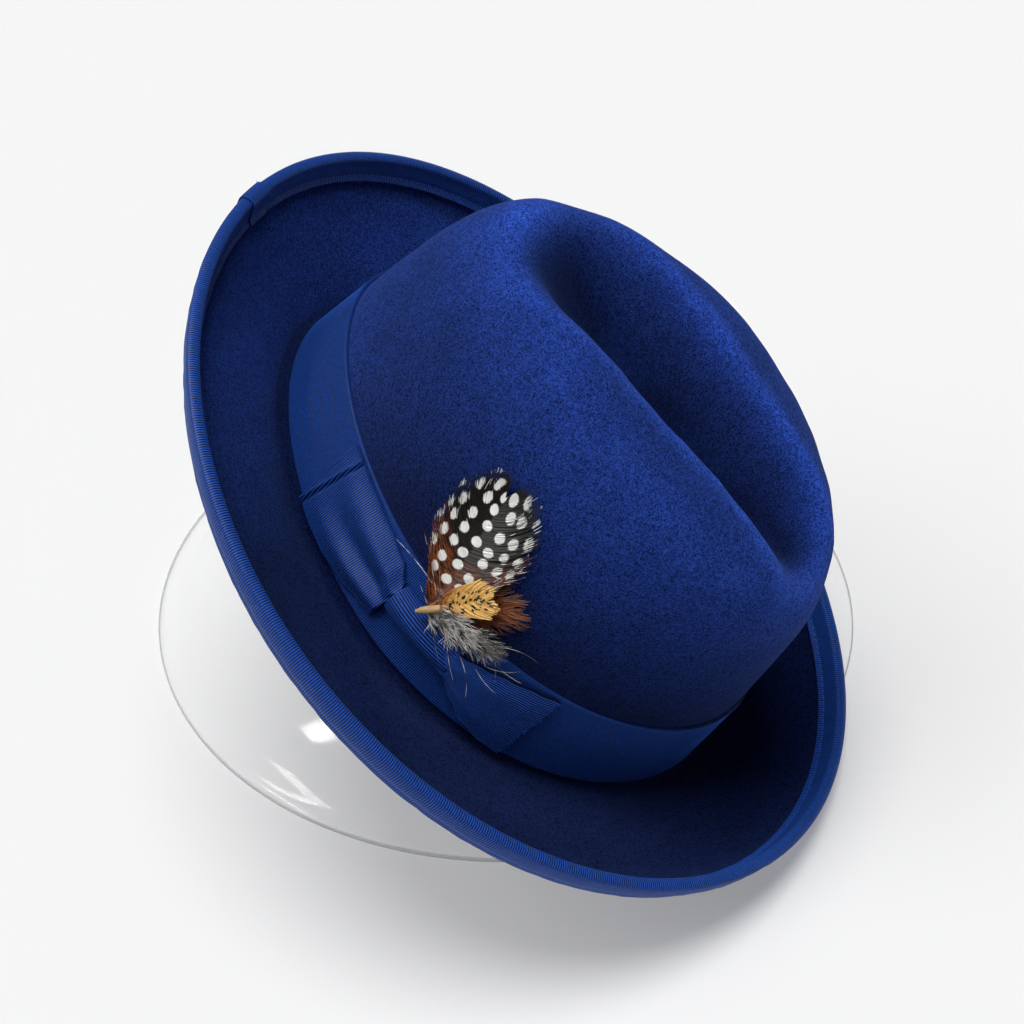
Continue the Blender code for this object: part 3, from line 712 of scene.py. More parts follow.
def wing(name, table, start, end, finish, ribs_run, pitch, folded=False):
    """A wing of the bow: pleated at the knot, and spread out towards its other end."""
    counted = end - start if ribs_run == "across" else BAND_WIDTH
    fine = round(counted / pitch) * COLUMNS_PER_RIB + 1
    stations, columns = (fine, 41) if ribs_run == "across" else (60, fine)
    places = np.linspace(0, 1, stations)[:, None]
    up_share = np.linspace(0, 1, columns)[None, :]
    low = smooth_column(table, "low", places)
    high = smooth_column(table, "high", places)
    crest = smooth_column(table, "crest", places)
    valley = smooth_column(table, "valley", places)
    fold = crest * smooth_column(WING_COLUMNS, "crest", up_share, "up")
    fold = fold + valley * smooth_column(WING_COLUMNS, "valley", up_share, "up")
    seat = 2 * GAP + RIBBON
    along = start + (end - start) * places + 0 * up_share
    up = BAND_FOOT + BAND_WIDTH * (low + (high - low) * up_share)
    run, width = (end - start) * places[:, 0], BAND_WIDTH * up_share[0]
    lift = seat + BOW_LIFT * fold
    if folded:
        reach = run[:, None] - 0.16 * (up - BAND_FOOT)
        lift = lift + press(reach, 0.0006, 0.0007, 0.0008) + press(reach, 0.0020, 0.0006, -0.0005)
    rib = ribs(run, pitch)[:, None] if ribs_run == "across" else ribs(width, pitch)[None, :]
    face = left_side(along, up, lift + RIBBON + RIB_RISE * rib)
    back = left_side(along, up, lift)
    sections = np.concatenate((face, back[:, ::-1]), axis=1)
    spread = flat_map(run, np.concatenate((width, width[::-1])))
    return loft(name, sections, spread, finish)


def knot(finish, stations=50):
    """The ribbon that wraps the pinched middle, lower at its two ends."""
    ribs_over = 18
    columns = ribs_over * (COLUMNS_PER_RIB + 1) + 1
    places = np.linspace(0, 1, stations)[:, None]
    share = np.linspace(0, 1, columns)[None, :]
    angle = math.pi * share
    along = KNOT_START + (KNOT_END - KNOT_START) * places + 0 * angle
    seat = 2 * GAP + RIBBON
    height = KNOT_LIFT * (0.80 + 0.20 * np.sin(math.pi * places))
    up = KNOT_MIDDLE - KNOT_WIDTH / 2 * np.cos(angle) + 0 * places
    inner_up = KNOT_MIDDLE - (KNOT_WIDTH / 2 - RIBBON) * np.cos(angle) + 0 * places
    pleat = 0.00030 * np.sin(angle * 5 + 2.0 * places) * np.sin(angle)
    width = share[0] * ribs_over * TAIL_RIB_PITCH
    rib = RIB_RISE * ribs(width, TAIL_RIB_PITCH)[None, :]
    face = left_side(along, up, seat + height * np.sin(angle) + pleat + rib)
    back = left_side(along, inner_up, seat + (height - RIBBON) * np.sin(angle))
    sections = np.concatenate((face, back[:, ::-1]), axis=1)
    run = (KNOT_END - KNOT_START) * places[:, 0]
    spread = flat_map(run, np.concatenate((width, width[::-1])))
    return loft("knot_ribbon", sections, spread, finish)


def tail_threads():
    """The back wing's cut end: a thread or two out of every rib."""
    draw = np.random.default_rng(31)
    count = 90
    up = BAND_FOOT + BAND_WIDTH * draw.uniform(0.02, 0.96, size=count)
    lift = 2 * GAP + 1.5 * RIBBON
    starts = left_side(BACK_WING_END - 0.0004, up, lift + 0.0006)
    onwards = unit(left_side(BACK_WING_END + 0.001, up, lift + 0.0006) - starts)
    outwards = unit(left_side(BACK_WING_END, up, lift + 0.002) - starts)
    return cut_threads("tail_threads", starts, onwards, outwards, 0.0016, 32, stitch_thread)


wing_ribbon = ribbon_finish("bow_grosgrain", selvedge=(0.0, BAND_WIDTH))
tail_ribbon = ribbon_finish("tail_grosgrain", ribs_run="lengthwise", pitch=TAIL_RIB_PITCH)
front_wing = wing("front_wing_ribbon", FRONT_WING, FRONT_WING_START, FRONT_WING_END,
                  wing_ribbon, "across", RIB_PITCH, folded=True)
back_wing = wing("back_wing_ribbon", BACK_WING, BACK_WING_START, BACK_WING_END,
                 tail_ribbon, "lengthwise", TAIL_RIB_PITCH)
tied_knot = knot(tail_ribbon)
for piece, node in ((front_wing, "bow_front_wing"), (back_wing, "bow_back_wing"), (tied_knot, "bow_knot")):
    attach(piece, "root")
    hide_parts(node)
frayed_end = tail_threads()
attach(frayed_end, "root")


# FEATHERS
# Four feathers on the wearer's left, tied at their quills and tucked in above the knot:
# rust down next to the felt, then a broad black one with white spots, a small golden one
# and a striped grey one. Each is a quill with barbs on both sides that part at their tips.
SPRAY_FOOT = (0.0010, 0.0280)
RUST = {"tip": (0.0190, 0.0485), "lift": 0.0019, "bow": 0.10}
SPOTTED = {"tip": (-0.0100, 0.0745), "lift": 0.0032, "bow": -0.06}
AMBER = {"tip": (0.0118, 0.0475), "lift": 0.0046, "bow": 0.04}
GREY = {"tip": (0.0240, 0.0350), "lift": 0.0060, "bow": 0.08}
QUILL_LENGTH = 0.0088
QUILL_RADIUS = 0.0011
QUILL_LIFT = 0.0082
RUST_BARBS = (
    {"along": 0.00, "front": 0.0050, "back": 0.0050, "lean": 34},
    {"along": 0.15, "front": 0.0135, "back": 0.0120, "lean": 42},
    {"along": 0.45, "front": 0.0165, "back": 0.0150, "lean": 46},
    {"along": 0.80, "front": 0.0120, "back": 0.0130, "lean": 38},
    {"along": 1.00, "front": 0.0050, "back": 0.0060, "lean": 14},
)
SPOTTED_BARBS = (
    {"along": 0.00, "front": 0.0090, "back": 0.0090, "lean": 54},
    {"along": 0.16, "front": 0.0180, "back": 0.0200, "lean": 64},
    {"along": 0.32, "front": 0.0215, "back": 0.0235, "lean": 68},
    {"along": 0.55, "front": 0.0215, "back": 0.0230, "lean": 66},
    {"along": 0.78, "front": 0.0175, "back": 0.0185, "lean": 58},
    {"along": 0.93, "front": 0.0120, "back": 0.0125, "lean": 44},
    {"along": 1.00, "front": 0.0075, "back": 0.0075, "lean": 22},
)
AMBER_BARBS = (
    {"along": 0.00, "front": 0.0030, "back": 0.0030, "lean": 38},
    {"along": 0.25, "front": 0.0100, "back": 0.0085, "lean": 52},
    {"along": 0.55, "front": 0.0120, "back": 0.0110, "lean": 54},
    {"along": 0.80, "front": 0.0085, "back": 0.0080, "lean": 46},
    {"along": 1.00, "front": 0.0020, "back": 0.0020, "lean": 20},
)
GREY_BARBS = (
    {"along": 0.00, "front": 0.0090, "back": 0.0060, "lean": 52},
    {"along": 0.20, "front": 0.0085, "back": 0.0090, "lean": 46},
    {"along": 0.55, "front": 0.0095, "back": 0.0100, "lean": 38},
    {"along": 0.85, "front": 0.0085, "back": 0.0080, "lean": 26},
    {"along": 1.00, "front": 0.0060, "back": 0.0060, "lean": 12},
)
# Long loose barbs of the grey feather: where each starts and ends, in millimetres back
# from the middle of the hat and up from the brim.
LOOSE_BARBS = (
    ((-4, 36), (-22, 34)), ((4, 30), (-9, 41)), ((2, 29), (-7, 33)), ((15, 27), (31, 15)),
    ((12, 27), (24, 17)), ((20, 30), (36, 24)), ((25, 33), (38, 34)), ((24, 36), (37, 44)),
    ((4, 31), (-10, 46)), ((27, 29), (35, 37)), ((6, 26), (16, 19)), ((28, 33), (33, 27)),
)


def strewn(shape, barbs, side, start, share, turned=0.0):
    """Points of barbs that leave one side of the shaft: where they start along it, from 0
    to 1, and how far out along each barb. Gives the place on the crown, in distance back
    and height, and the length run along the barb."""
    foot, tip = np.array(SPRAY_FOOT), np.array(shape["tip"])
    length = np.linalg.norm(tip - foot)
    shaft = (tip - foot) / length
    across = np.array((-shaft[1], shaft[0])) * side
    reach = smooth_column(barbs, "front" if side > 0 else "back", start)
    lean = np.radians(smooth_column(barbs, "lean", start)) + turned
    run = reach * share
    middle = lean * (1.12 - 0.42 * share)
    onwards = length * start + run * np.cos(middle)
    sideways = run * np.sin(middle) + side * shape["bow"] * length * start * (1 - start)
    place = foot + onwards[..., None] * shaft + sideways[..., None] * across
    return place, run


def over_crown(place, lift):
    return left_side(place[..., 0], place[..., 1], lift)


def gathered(parts):
    """Several lists of points, faces and spread as one."""
    points, faces, spread, before = [], [], [], 0
    for part_points, part_faces, part_spread in parts:
        points.append(np.reshape(part_points, (-1, 3)))
        faces += [[corner + before for corner in face] for face in part_faces]
        spread.append(np.reshape(part_spread, (-1, 2)))
        before += len(points[-1])
    return np.concatenate(points), faces, np.concatenate(spread)


def vane(shape, barbs, reach, stations=40, columns=10):
    """The ground of a feather, where its barbs hold together: a thin closed sheet."""
    start = np.linspace(0.02, 0.98, stations)[:, None]
    share = np.linspace(0, reach, columns)[None, :]
    front, front_run = strewn(shape, barbs, 1, start + 0 * share, share + 0 * start)
    back, back_run = strewn(shape, barbs, -1, start + 0 * share, share + 0 * start)
    place = np.concatenate((front[:, :0:-1], back), axis=1)
    run = np.concatenate((front_run[:, :0:-1], -back_run), axis=1)
    face = over_crown(place, shape["lift"] + 0.00035)
    under = over_crown(place, shape["lift"] + 0.00015)
    length = np.linalg.norm(np.subtract(shape["tip"], SPRAY_FOOT))
    flat = np.stack(np.broadcast_arrays(run, start * length), axis=-1)
    sections = np.concatenate((face, under[:, ::-1]), axis=1)
    spread = np.concatenate((flat, flat[:, ::-1]), axis=1)
    size = sections.shape[1]
    faces = ring_quads(stations, size, False).tolist()
    for first, turned in ((0, 1), ((stations - 1) * size, -1)):
        for corner in range(size // 2 - 1):
            cap = (corner, corner + 1, size - 2 - corner, size - 1 - corner)
            faces.append([first + point for point in cap[::turned]])
    return sections, faces, spread


def barb_strands(shape, barbs, side, count, width, untidy, stand, seed, points=8):
    """Barbs on one side: combed alike, a little untidy, and parted near their tips."""
    draw = np.random.default_rng(seed)
    start = (np.arange(count) + draw.uniform(0.2, 0.8, count)) / count
    share = np.linspace(0, 1, points)
    locks = np.repeat(draw.normal(size=count // 5 + 1), 5)[:count]
    turned = np.radians(untidy) * (0.8 * locks + 0.5 * draw.normal(size=count))[:, None]
    reach = draw.uniform(0.86, 1.06, count)[:, None]
    place, run = strewn(shape, barbs, side, start[:, None] + 0 * share, share * reach, turned * share)
    waves = draw.normal(size=(count, 2, 1)) * np.radians(untidy) * 0.25
    place = place + (run * np.sin(3 + 5 * share))[..., None] * waves.reshape(count, 1, 2)
    rise = 0.00045 + draw.uniform(0, 0.0003, count)[:, None] + stand * draw.uniform(0, 1, count)[:, None] ** 3 * share**2
    centres = over_crown(place, shape["lift"] + rise)
    outwards = over_crown(place, shape["lift"] + rise + 0.001) - centres
    widths = width * (1.0 - 0.65 * share**2)[None, :] * np.ones((count, 1))
    made, faces = strands(centres, outwards, widths, widths * 0.45)
    length = np.linalg.norm(np.subtract(shape["tip"], SPRAY_FOOT))
    flat = np.stack(np.broadcast_arrays(side * run, start[:, None] * length), axis=-1)
    return made, faces, np.repeat(flat.reshape(-1, 2), 3, axis=0)


def shaft_strand(shape, width, until=0.93):
    """The feather's shaft, thinning towards its tip."""
    start = np.linspace(0, until, 24)[None, :]
    place, run = strewn(shape, ({"along": 0, "front": 0, "back": 0, "lean": 0},
                                {"along": 1, "front": 0, "back": 0, "lean": 0}), 1, start, 0 * start)
    centres = over_crown(place, shape["lift"] + 0.0005)
    outwards = over_crown(place, shape["lift"] + 0.0015) - centres
    widths = width * (1.0 - 0.8 * start)
    made, faces = strands(centres, outwards, widths, widths * 0.6)
    flat = np.stack((0 * start, start * np.linalg.norm(np.subtract(shape["tip"], SPRAY_FOOT))), axis=-1)
    return made, faces, np.repeat(flat.reshape(-1, 2), 3, axis=0)


def loose_strands(width, seed):
    draw = np.random.default_rng(seed)
    share = np.linspace(0, 1, 12)[None, :, None]
    ends = np.array(LOOSE_BARBS) / 1000
    across = (ends[:, 1] - ends[:, 0])[:, None, ::-1] * (-1, 1)
    place = ends[:, None, 0] * (1 - share) + ends[:, None, 1] * share
    place = place + across * share * (1 - share) * draw.normal(size=(len(ends), 1, 1)) * 0.35
    lift = GREY["lift"] + 0.0006 + 0.0022 * share[..., 0] * draw.uniform(0.2, 1, (len(ends), 1))
    centres = over_crown(place, lift)
    outwards = over_crown(place, lift + 0.001) - centres
    widths = width * (1 - 0.5 * share[..., 0]) * np.ones((len(ends), 1))
    made, faces = strands(centres, outwards, widths, widths * 0.6)
    flat = np.stack(np.broadcast_arrays(0.02 * share[..., 0], np.arange(len(ends))[:, None] * 0.003), axis=-1)
    return made, faces, np.repeat(flat.reshape(-1, 2), 3, axis=0)


def feather_finish(name, paint):
    """A barb's soft sheen; paint gives the colour from the run out along the barbs, and
    from the distance up the shaft, both in metres."""
    finish, shader, step, link = new_finish(name)
    spread = step("TexCoord", out="UV")
    run = step("Math", {0: step("SeparateXYZ", {"Vector": spread}, 0)}, operation="ABSOLUTE")
    up = step("SeparateXYZ", {"Vector": spread}, 1)
    streaks = step("VectorMath", {0: spread, 1: (260.0, 3400.0, 1.0)}, operation="MULTIPLY")
    streaks = step("TexNoise", {"Vector": streaks, "Scale": 1.0, "Detail": 3.0}, "Fac")
    colour = paint(step, spread, run, up, streaks)
    link(colour, shader.inputs["Base Color"])
    shader.inputs["Roughness"].default_value = 0.55
    shader.inputs["Specular IOR Level"].default_value = 0.25
    raised = step("Bump", {"Strength": 0.3, "Distance": 0.00008, "Height": streaks}, "Normal")
    link(raised, shader.inputs["Normal"])
    return finish


def mixed(step, share, dark, light):
    colours = [tint if isinstance(tint, bpy.types.NodeSocket) else (*tint, 1) for tint in (dark, light)]
    return step("Mix", {"Factor": share, "A": colours[0], "B": colours[1]}, out="Result", data_type="RGBA")


def rust_paint(step, spread, run, up, streaks):
    tone = step("MapRange", {"Value": streaks, "From Min": 0.30, "From Max": 0.70})
    tip = step("MapRange", {"Value": run, "From Min": 0.007, "From Max": 0.014, "To Min": 1.0, "To Max": 0.25})
    tone = step("Math", {0: tone, 1: tip}, operation="MULTIPLY")
    return mixed(step, tone, (0.018, 0.006, 0.003), (0.42, 0.105, 0.022))


def spotted_paint(step, spread, run, up, streaks):
    """White ovals in rows that slant along the barbs, on warm black."""
    cells = step("VectorMath", {0: spread, 1: (1 / 0.0066, 1 / 0.0059, 1.0)}, operation="MULTIPLY")
    across = step("SeparateXYZ", {"Vector": cells}, 0)
    along = step("SeparateXYZ", {"Vector": cells}, 1)
    slant = step("Math", {0: step("Math", {0: across}, operation="ABSOLUTE"), 1: 0.5, 2: along}, operation="MULTIPLY_ADD")
    cells = step("CombineXYZ", {"X": across, "Y": slant})
    spot = step("TexVoronoi", {"Vector": cells, "Scale": 1.0, "Randomness": 0.32}, "Distance", voronoi_dimensions="2D")
    spot = step("MapRange", {"Value": spot, "From Min": 0.28, "From Max": 0.33, "To Min": 1.0, "To Max": 0.0})
    foot = step("MapRange", {"Value": up, "From Min": 0.006, "From Max": 0.011})
    spot = step("Math", {0: spot, 1: foot}, operation="MULTIPLY")
    tone = step("MapRange", {"Value": streaks, "From Min": 0.45, "From Max": 0.80})
    ground = mixed(step, tone, (0.0045, 0.0038, 0.0032), (0.026, 0.019, 0.013))
    rusty = step("MapRange", {"Value": up, "From Min": 0.015, "From Max": 0.023, "To Min": 1.0, "To Max": 0.0})
    patchy = step("MapRange", {"Value": streaks, "From Min": 0.44, "From Max": 0.56})
    rusty = step("Math", {0: rusty, 1: patchy}, operation="MULTIPLY")
    ground = mixed(step, rusty, ground, (0.30, 0.070, 0.016))
    white = mixed(step, streaks, (0.80, 0.79, 0.74), (1.0, 0.99, 0.96))
    return mixed(step, spot, ground, white)


def amber_paint(step, spread, run, up, streaks):
    """Gold, with short black bars across some of the barbs."""
    marks = step("VectorMath", {0: spread, 1: (420.0, 900.0, 1.0)}, operation="MULTIPLY")
    marks = step("TexNoise", {"Vector": marks, "Scale": 1.0, "Detail": 1.0, "Distortion": 0.6}, "Fac")
    marks = step("MapRange", {"Value": marks, "From Min": 0.55, "From Max": 0.57})
    inner = step("MapRange", {"Value": run, "From Min": 0.0045, "From Max": 0.0070, "To Min": 1.0, "To Max": 0.0})
    marks = step("Math", {0: marks, 1: inner}, operation="MULTIPLY")
    tone = step("MapRange", {"Value": streaks, "From Min": 0.30, "From Max": 0.70})
    gold = mixed(step, tone, (0.78, 0.400, 0.085), (1.00, 0.680, 0.240))
    foot = step("MapRange", {"Value": up, "From Min": 0.004, "From Max": 0.010})
    gold = mixed(step, foot, (0.40, 0.120, 0.020), gold)
    return mixed(step, marks, gold, (0.012, 0.008, 0.005))


def grey_paint(step, spread, run, up, streaks):
    """Smoke grey down in dark and pale tufts, black where the feather ends."""
    tufts = step("VectorMath", {0: spread, 1: (210.0, 420.0, 1.0)}, operation="MULTIPLY")
    tufts = step("TexNoise", {"Vector": tufts, "Scale": 1.0, "Detail": 2.0}, "Fac")
    tufts = step("MapRange", {"Value": tufts, "From Min": 0.40, "From Max": 0.58})
    pale = step("MapRange", {"Value": up, "From Min": 0.013, "From Max": 0.022, "To Min": 1.0, "To Max": 0.25})
    lit = step("Math", {0: tufts, 1: pale}, operation="MULTIPLY")
    light = mixed(step, streaks, (0.34, 0.32, 0.28), (1.0, 0.98, 0.94))
    return mixed(step, lit, (0.030, 0.026, 0.020), light)


def quill_paint(step, spread, run, up, streaks):
    tone = step("MapRange", {"Value": streaks, "From Min": 0.30, "From Max": 0.70})
    return mixed(step, tone, (0.30, 0.17, 0.060), (0.62, 0.42, 0.20))


def quill():
    """The bare ends of the quills, in a tapered bundle of three that ends in a cut."""
    foot, tip = np.array(SPRAY_FOOT), np.array(AMBER["tip"])
    shaft = (tip - foot) / np.linalg.norm(tip - foot)
    across = np.array((-shaft[1], shaft[0]))
    turn = 2 * math.pi * np.arange(12) / 12
    parts = []
    for offset, low, size in ((0.0, -0.34, 1.0), (0.55, -0.18, 0.7), (-0.6, -0.10, 0.6)):
        share = np.linspace(low, 0.70, 14)
        radius = QUILL_RADIUS * size * (0.55 + 0.40 * np.clip((share - low) / 0.3, 0, 1))
        loops = []
        for step_share, step_radius in zip(share, radius):
            middle = foot + shaft * QUILL_LENGTH * step_share + across * QUILL_RADIUS * offset
            place = middle + across * (step_radius * np.cos(turn))[:, None]
            loops.append(over_crown(place, QUILL_LIFT - 0.0008 * abs(offset) + step_radius * np.sin(turn)))
        loops = np.array(loops)
        faces = ring_quads(14, 12, False).tolist()
        ends = [(13 * 12 + corner, 13 * 12 + corner + 1, 14 * 12 - 2 - corner, 14 * 12 - 1 - corner) for corner in range(5)]
        faces += [list(end) for end in ends] + [[point - 13 * 12 for point in end[::-1]] for end in ends]
        spread = flat_map(share * QUILL_LENGTH, turn * QUILL_RADIUS)
        parts.append((loops, faces, spread))
    return parts


def feather(name, node, finish, parts):
    points, faces, spread = gathered(parts)
    made = make_mesh(name, into_place(points), faces, finish, 50.0, spread)
    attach(made, "root")
    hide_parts(node)
    return made


feather("rust_down", "rust_feather", feather_finish("rust_barbs", rust_paint), [
    vane(RUST, RUST_BARBS, 0.45),
    shaft_strand(RUST, 0.0006),
    barb_strands(RUST, RUST_BARBS, 1, 150, 0.00034, 13, 0.0012, 41),
    barb_strands(RUST, RUST_BARBS, -1, 150, 0.00034, 13, 0.0012, 42),
])
feather("spotted_barbs", "spotted_feather", feather_finish("spotted_vane", spotted_paint), [
    vane(SPOTTED, SPOTTED_BARBS, 0.80, 60),
    shaft_strand(SPOTTED, 0.0008),
    barb_strands(SPOTTED, SPOTTED_BARBS, 1, 230, 0.00034, 2.6, 0.0006, 43, 10),
    barb_strands(SPOTTED, SPOTTED_BARBS, -1, 230, 0.00034, 2.6, 0.0006, 44, 10),
    barb_strands(SPOTTED, SPOTTED_BARBS, 1, 60, 0.00022, 9, 0.0012, 45, 10),
    barb_strands(SPOTTED, SPOTTED_BARBS, -1, 60, 0.00022, 9, 0.0012, 46, 10),
])
feather("golden_vane", "amber_feather", feather_finish("golden_barbs", amber_paint), [
    vane(AMBER, AMBER_BARBS, 0.90),
    shaft_strand(AMBER, 0.0005),
    barb_strands(AMBER, AMBER_BARBS, 1, 34, 0.00100, 1.2, 0.0003, 47),
    barb_strands(AMBER, AMBER_BARBS, -1, 34, 0.00100, 1.2, 0.0003, 48),
])
feather("grey_barbs", "grey_feather", feather_finish("grey_vane", grey_paint), [
    vane(GREY, GREY_BARBS, 0.30),
    shaft_strand(GREY, 0.0006),
    barb_strands(GREY, GREY_BARBS, 1, 150, 0.00026, 24, 0.0026, 49, 10),
    barb_strands(GREY, GREY_BARBS, -1, 150, 0.00026, 24, 0.0026, 50, 10),
    loose_strands(0.00030, 51),
])
feather("quill_ends", "quill_stub", feather_finish("quill_horn", quill_paint), quill())


# STAND
# A round stand formed from one sheet of clear plastic, open underneath, with a rolled lip
# on the floor. It rises under the crown, where the hat hides it.
STAND_WALL = 0.0025
STAND_LIP = 0.007
STAND_LIP_HEIGHT = 0.0039
STAND_SECTION = (
    {"radius": 0.052, "height": 0.983},
    {"radius": 0.097, "height": 0.943},
    {"radius": 0.123, "height": 0.845},
    {"radius": 0.155, "height": 0.730},
    {"radius": 0.205, "height": 0.600},
    {"radius": 0.275, "height": 0.487},
    {"radius": 0.380, "height": 0.360},
    {"radius": 0.520, "height": 0.228},
    {"radius": 0.660, "height": 0.128},
    {"radius": 0.790, "height": 0.065},
    {"radius": 0.880, "height": 0.037},
)
LIP_SECTION = (
    {"radius": 0.945, "height": 1.00},
    {"radius": 0.985, "height": 0.69},
    {"radius": 1.000, "height": 0.35},
    {"radius": 1.000, "height": 0.00},
)


def clear_finish(middle, radius):
    """Clear plastic: nearly unseen face on, and greyer and glossier where it turns away, with a painted dark line
    round the outer face of its lip.
    """
    finish, shader, step, link = new_finish("clear_plastic_shell")
    place = step("TexCoord", out="Object")
    turning = step("LayerWeight", {"Blend": 0.30}, "Facing")
    turning = step("Math", {0: turning, 1: 3.0}, operation="POWER")
    seen = step("MapRange", {"Value": turning, "To Min": 0.035, "To Max": 0.38})
    from_axis = step("VectorMath", {0: place, 1: (*middle, 0.0)}, operation="SUBTRACT")
    from_axis = step("VectorMath", {0: from_axis, 1: (1.0, 1.0, 0.0)}, operation="MULTIPLY")
    from_axis = step("VectorMath", {0: from_axis}, 1, operation="LENGTH")
    # Painted shade: the outer face of the lip is painted dark and made half opaque.
    painted_edge_line = step("MapRange", {"Value": from_axis, "From Min": radius - 0.0007, "From Max": radius - 0.0001,
                            "To Min": 0.0, "To Max": 0.50})
    seen = step("Math", {0: seen, 1: painted_edge_line}, operation="MAXIMUM")
    link(seen, shader.inputs["Alpha"])
    tint = step("Mix", {"Factor": painted_edge_line, "A": (0.84, 0.85, 0.86, 1), "B": (0.08, 0.08, 0.09, 1)},
                out="Result", data_type="RGBA")
    link(tint, shader.inputs["Base Color"])
    shader.inputs["Roughness"].default_value = 0.06
    shader.inputs["Specular IOR Level"].default_value = 0.9
    flow = step("TexNoise", {"Vector": place, "Scale": 14.0, "Detail": 1.0}, "Fac")
    raised = step("Bump", {"Strength": 0.10, "Distance": 0.004, "Height": flow}, "Normal")
    link(raised, shader.inputs["Normal"])
    return finish


def smooth_section(section, radius, height, steps):
    """A stretch of the stand's outer face, rounded through the rows of its table."""
    corners = np.array([(row["radius"] * radius, row["height"] * height) for row in section])
    ends = np.concatenate((2 * corners[:1] - corners[1:2], corners, 2 * corners[-1:] - corners[-2:-1]))
    line = []
    for before, here, there, after in zip(ends, ends[1:], ends[2:], ends[3:]):
        for share in np.arange(steps) / steps:
            line.append(0.5 * (2 * here + (there - before) * share
                               + (2 * before - 5 * here + 4 * there - after) * share**2
                               + (3 * here - before - 3 * there + after) * share**3))
    return np.array(line + [corners[-1]])


def clear_shell(turns=180):
    low, high = (np.array(corner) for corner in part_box("display_stand"))
    radius = (high[0] - low[0]) / 2
    middle = ((low[0] + high[0]) / 2, (low[1] + high[1]) / 2, 0.0)
    outside = smooth_section(STAND_SECTION, radius, high[2], 5)
    lip = smooth_section(LIP_SECTION, radius, STAND_LIP_HEIGHT, 3)
    outside = np.concatenate((outside, lip))
    run = np.gradient(outside, axis=0)
    run /= np.linalg.norm(run, axis=1, keepdims=True)
    inside = outside + np.column_stack((run[:, 1], -run[:, 0])) * STAND_WALL
    inside = inside[(inside[:, 0] < radius - STAND_LIP) & (inside[:, 1] > STAND_WALL / 2)][::-1]
    profile = np.concatenate((outside, ((radius - STAND_LIP, 0.0),), inside))
    turn = 2 * math.pi * np.arange(turns) / turns
    loops = np.stack((
        profile[:, :1] * np.cos(turn), profile[:, :1] * np.sin(turn), profile[:, 1:] + 0 * turn,
    ), axis=-1)
    points = np.concatenate((loops.reshape(-1, 3), ((0, 0, high[2]), (0, 0, high[2] - STAND_WALL)))) + middle
    faces = ring_quads(len(profile), turns, False)[:, ::-1].tolist()
    top, under, last = len(points) - 2, len(points) - 1, (len(profile) - 1) * turns
    for column in range(turns):
        after = (column + 1) % turns
        faces.append((top, column, after))
        faces.append((last + column, under, last + after))
    return make_mesh("clear_shell", points, faces, clear_finish(middle[:2], radius), 60.0)


stand = clear_shell()
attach(stand, "root")
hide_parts("display_stand")


# FLOOR, LIGHT AND VIEW
# A pale floor under a broad soft light from above and a weaker one from the left, and the
# photograph's view of it: from the wearer's left and behind, 40 degrees up.
VIEW_AZIMUTH = math.radians(127.2)
VIEW_ELEVATION = math.radians(40.0)
VIEW_DISTANCE = 0.9679
VIEW_RIGHT = 0.0026
VIEW_UP = 0.0091
LENS = 91.4
STRIP_REACH = 0.121
cad_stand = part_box("display_stand")


def floor_finish():
    finish, shader, step, link = new_finish("pale_floor")
    grain = step("TexNoise", {"Vector": step("TexCoord", out="Object"), "Scale": 3.0}, "Fac")
    tone = step("MapRange", {"Value": grain, "To Min": 0.627, "To Max": 0.633})
    link(tone, shader.inputs["Base Color"])
    shader.inputs["Emission Color"].default_value = (1.0, 1.0, 1.0, 1)
    shader.inputs["Emission Strength"].default_value = 0.27
    shader.inputs["Roughness"].default_value = 0.9
    shader.inputs["Specular IOR Level"].default_value = 0.1
    return finish


half = 4.0
floor_corners = [(-half, -half, 0), (half, -half, 0), (half, half, 0), (-half, half, 0)]
floor = make_mesh("floor", floor_corners, [(0, 1, 2, 3)], floor_finish())
floor.location.z = -0.0002

world = bpy.data.worlds.new("studio")
bpy.context.scene.world = world
world.use_nodes = True
world.node_tree.nodes["Background"].inputs["Color"].default_value = (0.96, 0.98, 1.0, 1)
world.node_tree.nodes["Background"].inputs["Strength"].default_value = 0.06

sight = np.array((
    -math.sin(VIEW_AZIMUTH) * math.cos(VIEW_ELEVATION),
    math.cos(VIEW_AZIMUTH) * math.cos(VIEW_ELEVATION),
    -math.sin(VIEW_ELEVATION),
))
sight_right = np.array((math.cos(VIEW_AZIMUTH), math.sin(VIEW_AZIMUTH), 0))
sight_up = np.cross(sight_right, sight)


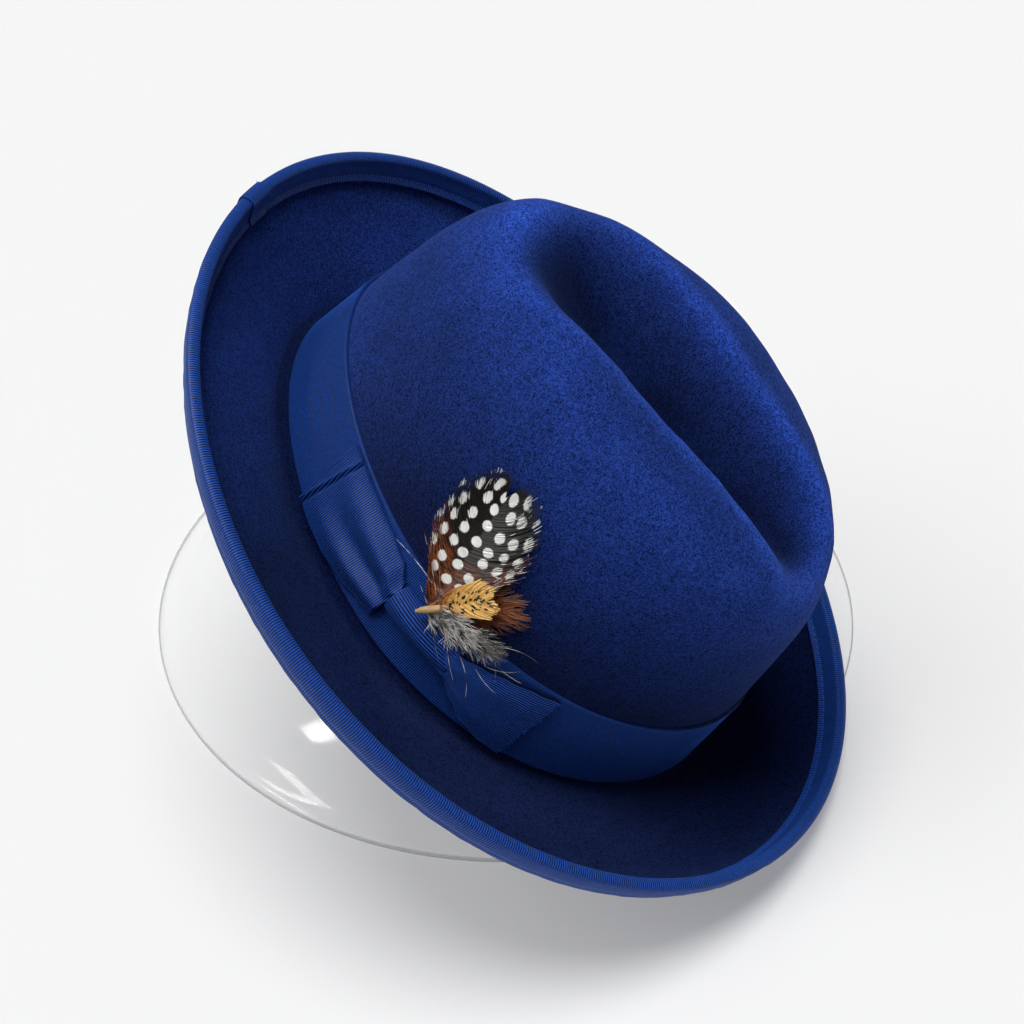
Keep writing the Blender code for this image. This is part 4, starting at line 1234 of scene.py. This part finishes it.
def aim(made, place, towards):
    """Put a camera or a light somewhere, looking along a direction."""
    back = -unit(np.array(towards, float))
    across = unit(np.cross((0, 0, 1), back))
    above = np.cross(back, across)
    turned = np.column_stack((across, above, back))
    made.matrix_world = Matrix([[*turned[row], place[row]] for row in range(3)] + [[0, 0, 0, 1]])


def soft_light(name, right, up, nearer, energy, angle):
    """A broad distant light, from a direction that is given as the picture shows it."""
    made = bpy.data.objects.new(name, bpy.data.lights.new(name, "SUN"))
    made.data.energy = energy
    made.data.angle = math.radians(angle)
    bpy.context.collection.objects.link(made)
    aim(made, (0, 0, 2), -unit(right * sight_right + up * sight_up - nearer * sight))


soft_light("key", -0.07, 0.74, 0.67, 2.35, 34)
soft_light("fill", -0.60, 0.45, 0.66, 0.95, 45)

camera = bpy.data.objects.new("camera", bpy.data.cameras.new("camera"))
camera.data.lens = LENS
camera.data.clip_start = 0.05
bpy.context.collection.objects.link(camera)
camera_place = hat_place - VIEW_DISTANCE * sight + VIEW_RIGHT * sight_right + VIEW_UP * sight_up
aim(camera, camera_place, sight)

# A strip light that only shows in the gloss of the clear stand.
skirt_turn = math.atan2(-sight[1], -sight[0]) - 0.62
skirt_out = np.array((math.cos(skirt_turn), math.sin(skirt_turn), 0.0))
skirt_point = STRIP_REACH * skirt_out + np.array(((cad_stand[0][0] + cad_stand[1][0]) / 2,
                                                  (cad_stand[0][1] + cad_stand[1][1]) / 2, 0.012))
skirt_normal = unit(0.45 * skirt_out + np.array((0, 0, 0.89)))
seen_from = unit(skirt_point - camera_place)
strip_way = seen_from - 2 * np.dot(seen_from, skirt_normal) * skirt_normal
strip = bpy.data.objects.new("strip", bpy.data.lights.new("strip", "AREA"))
strip.data.shape = "RECTANGLE"
strip.data.size = 0.50
strip.data.size_y = 0.10
strip.data.energy = 15.0
strip.visible_diffuse = False
bpy.context.collection.objects.link(strip)
aim(strip, skirt_point + 1.1 * strip_way, -strip_way)
bpy.context.scene.camera = camera
bpy.context.scene.view_settings.view_transform = "Standard"
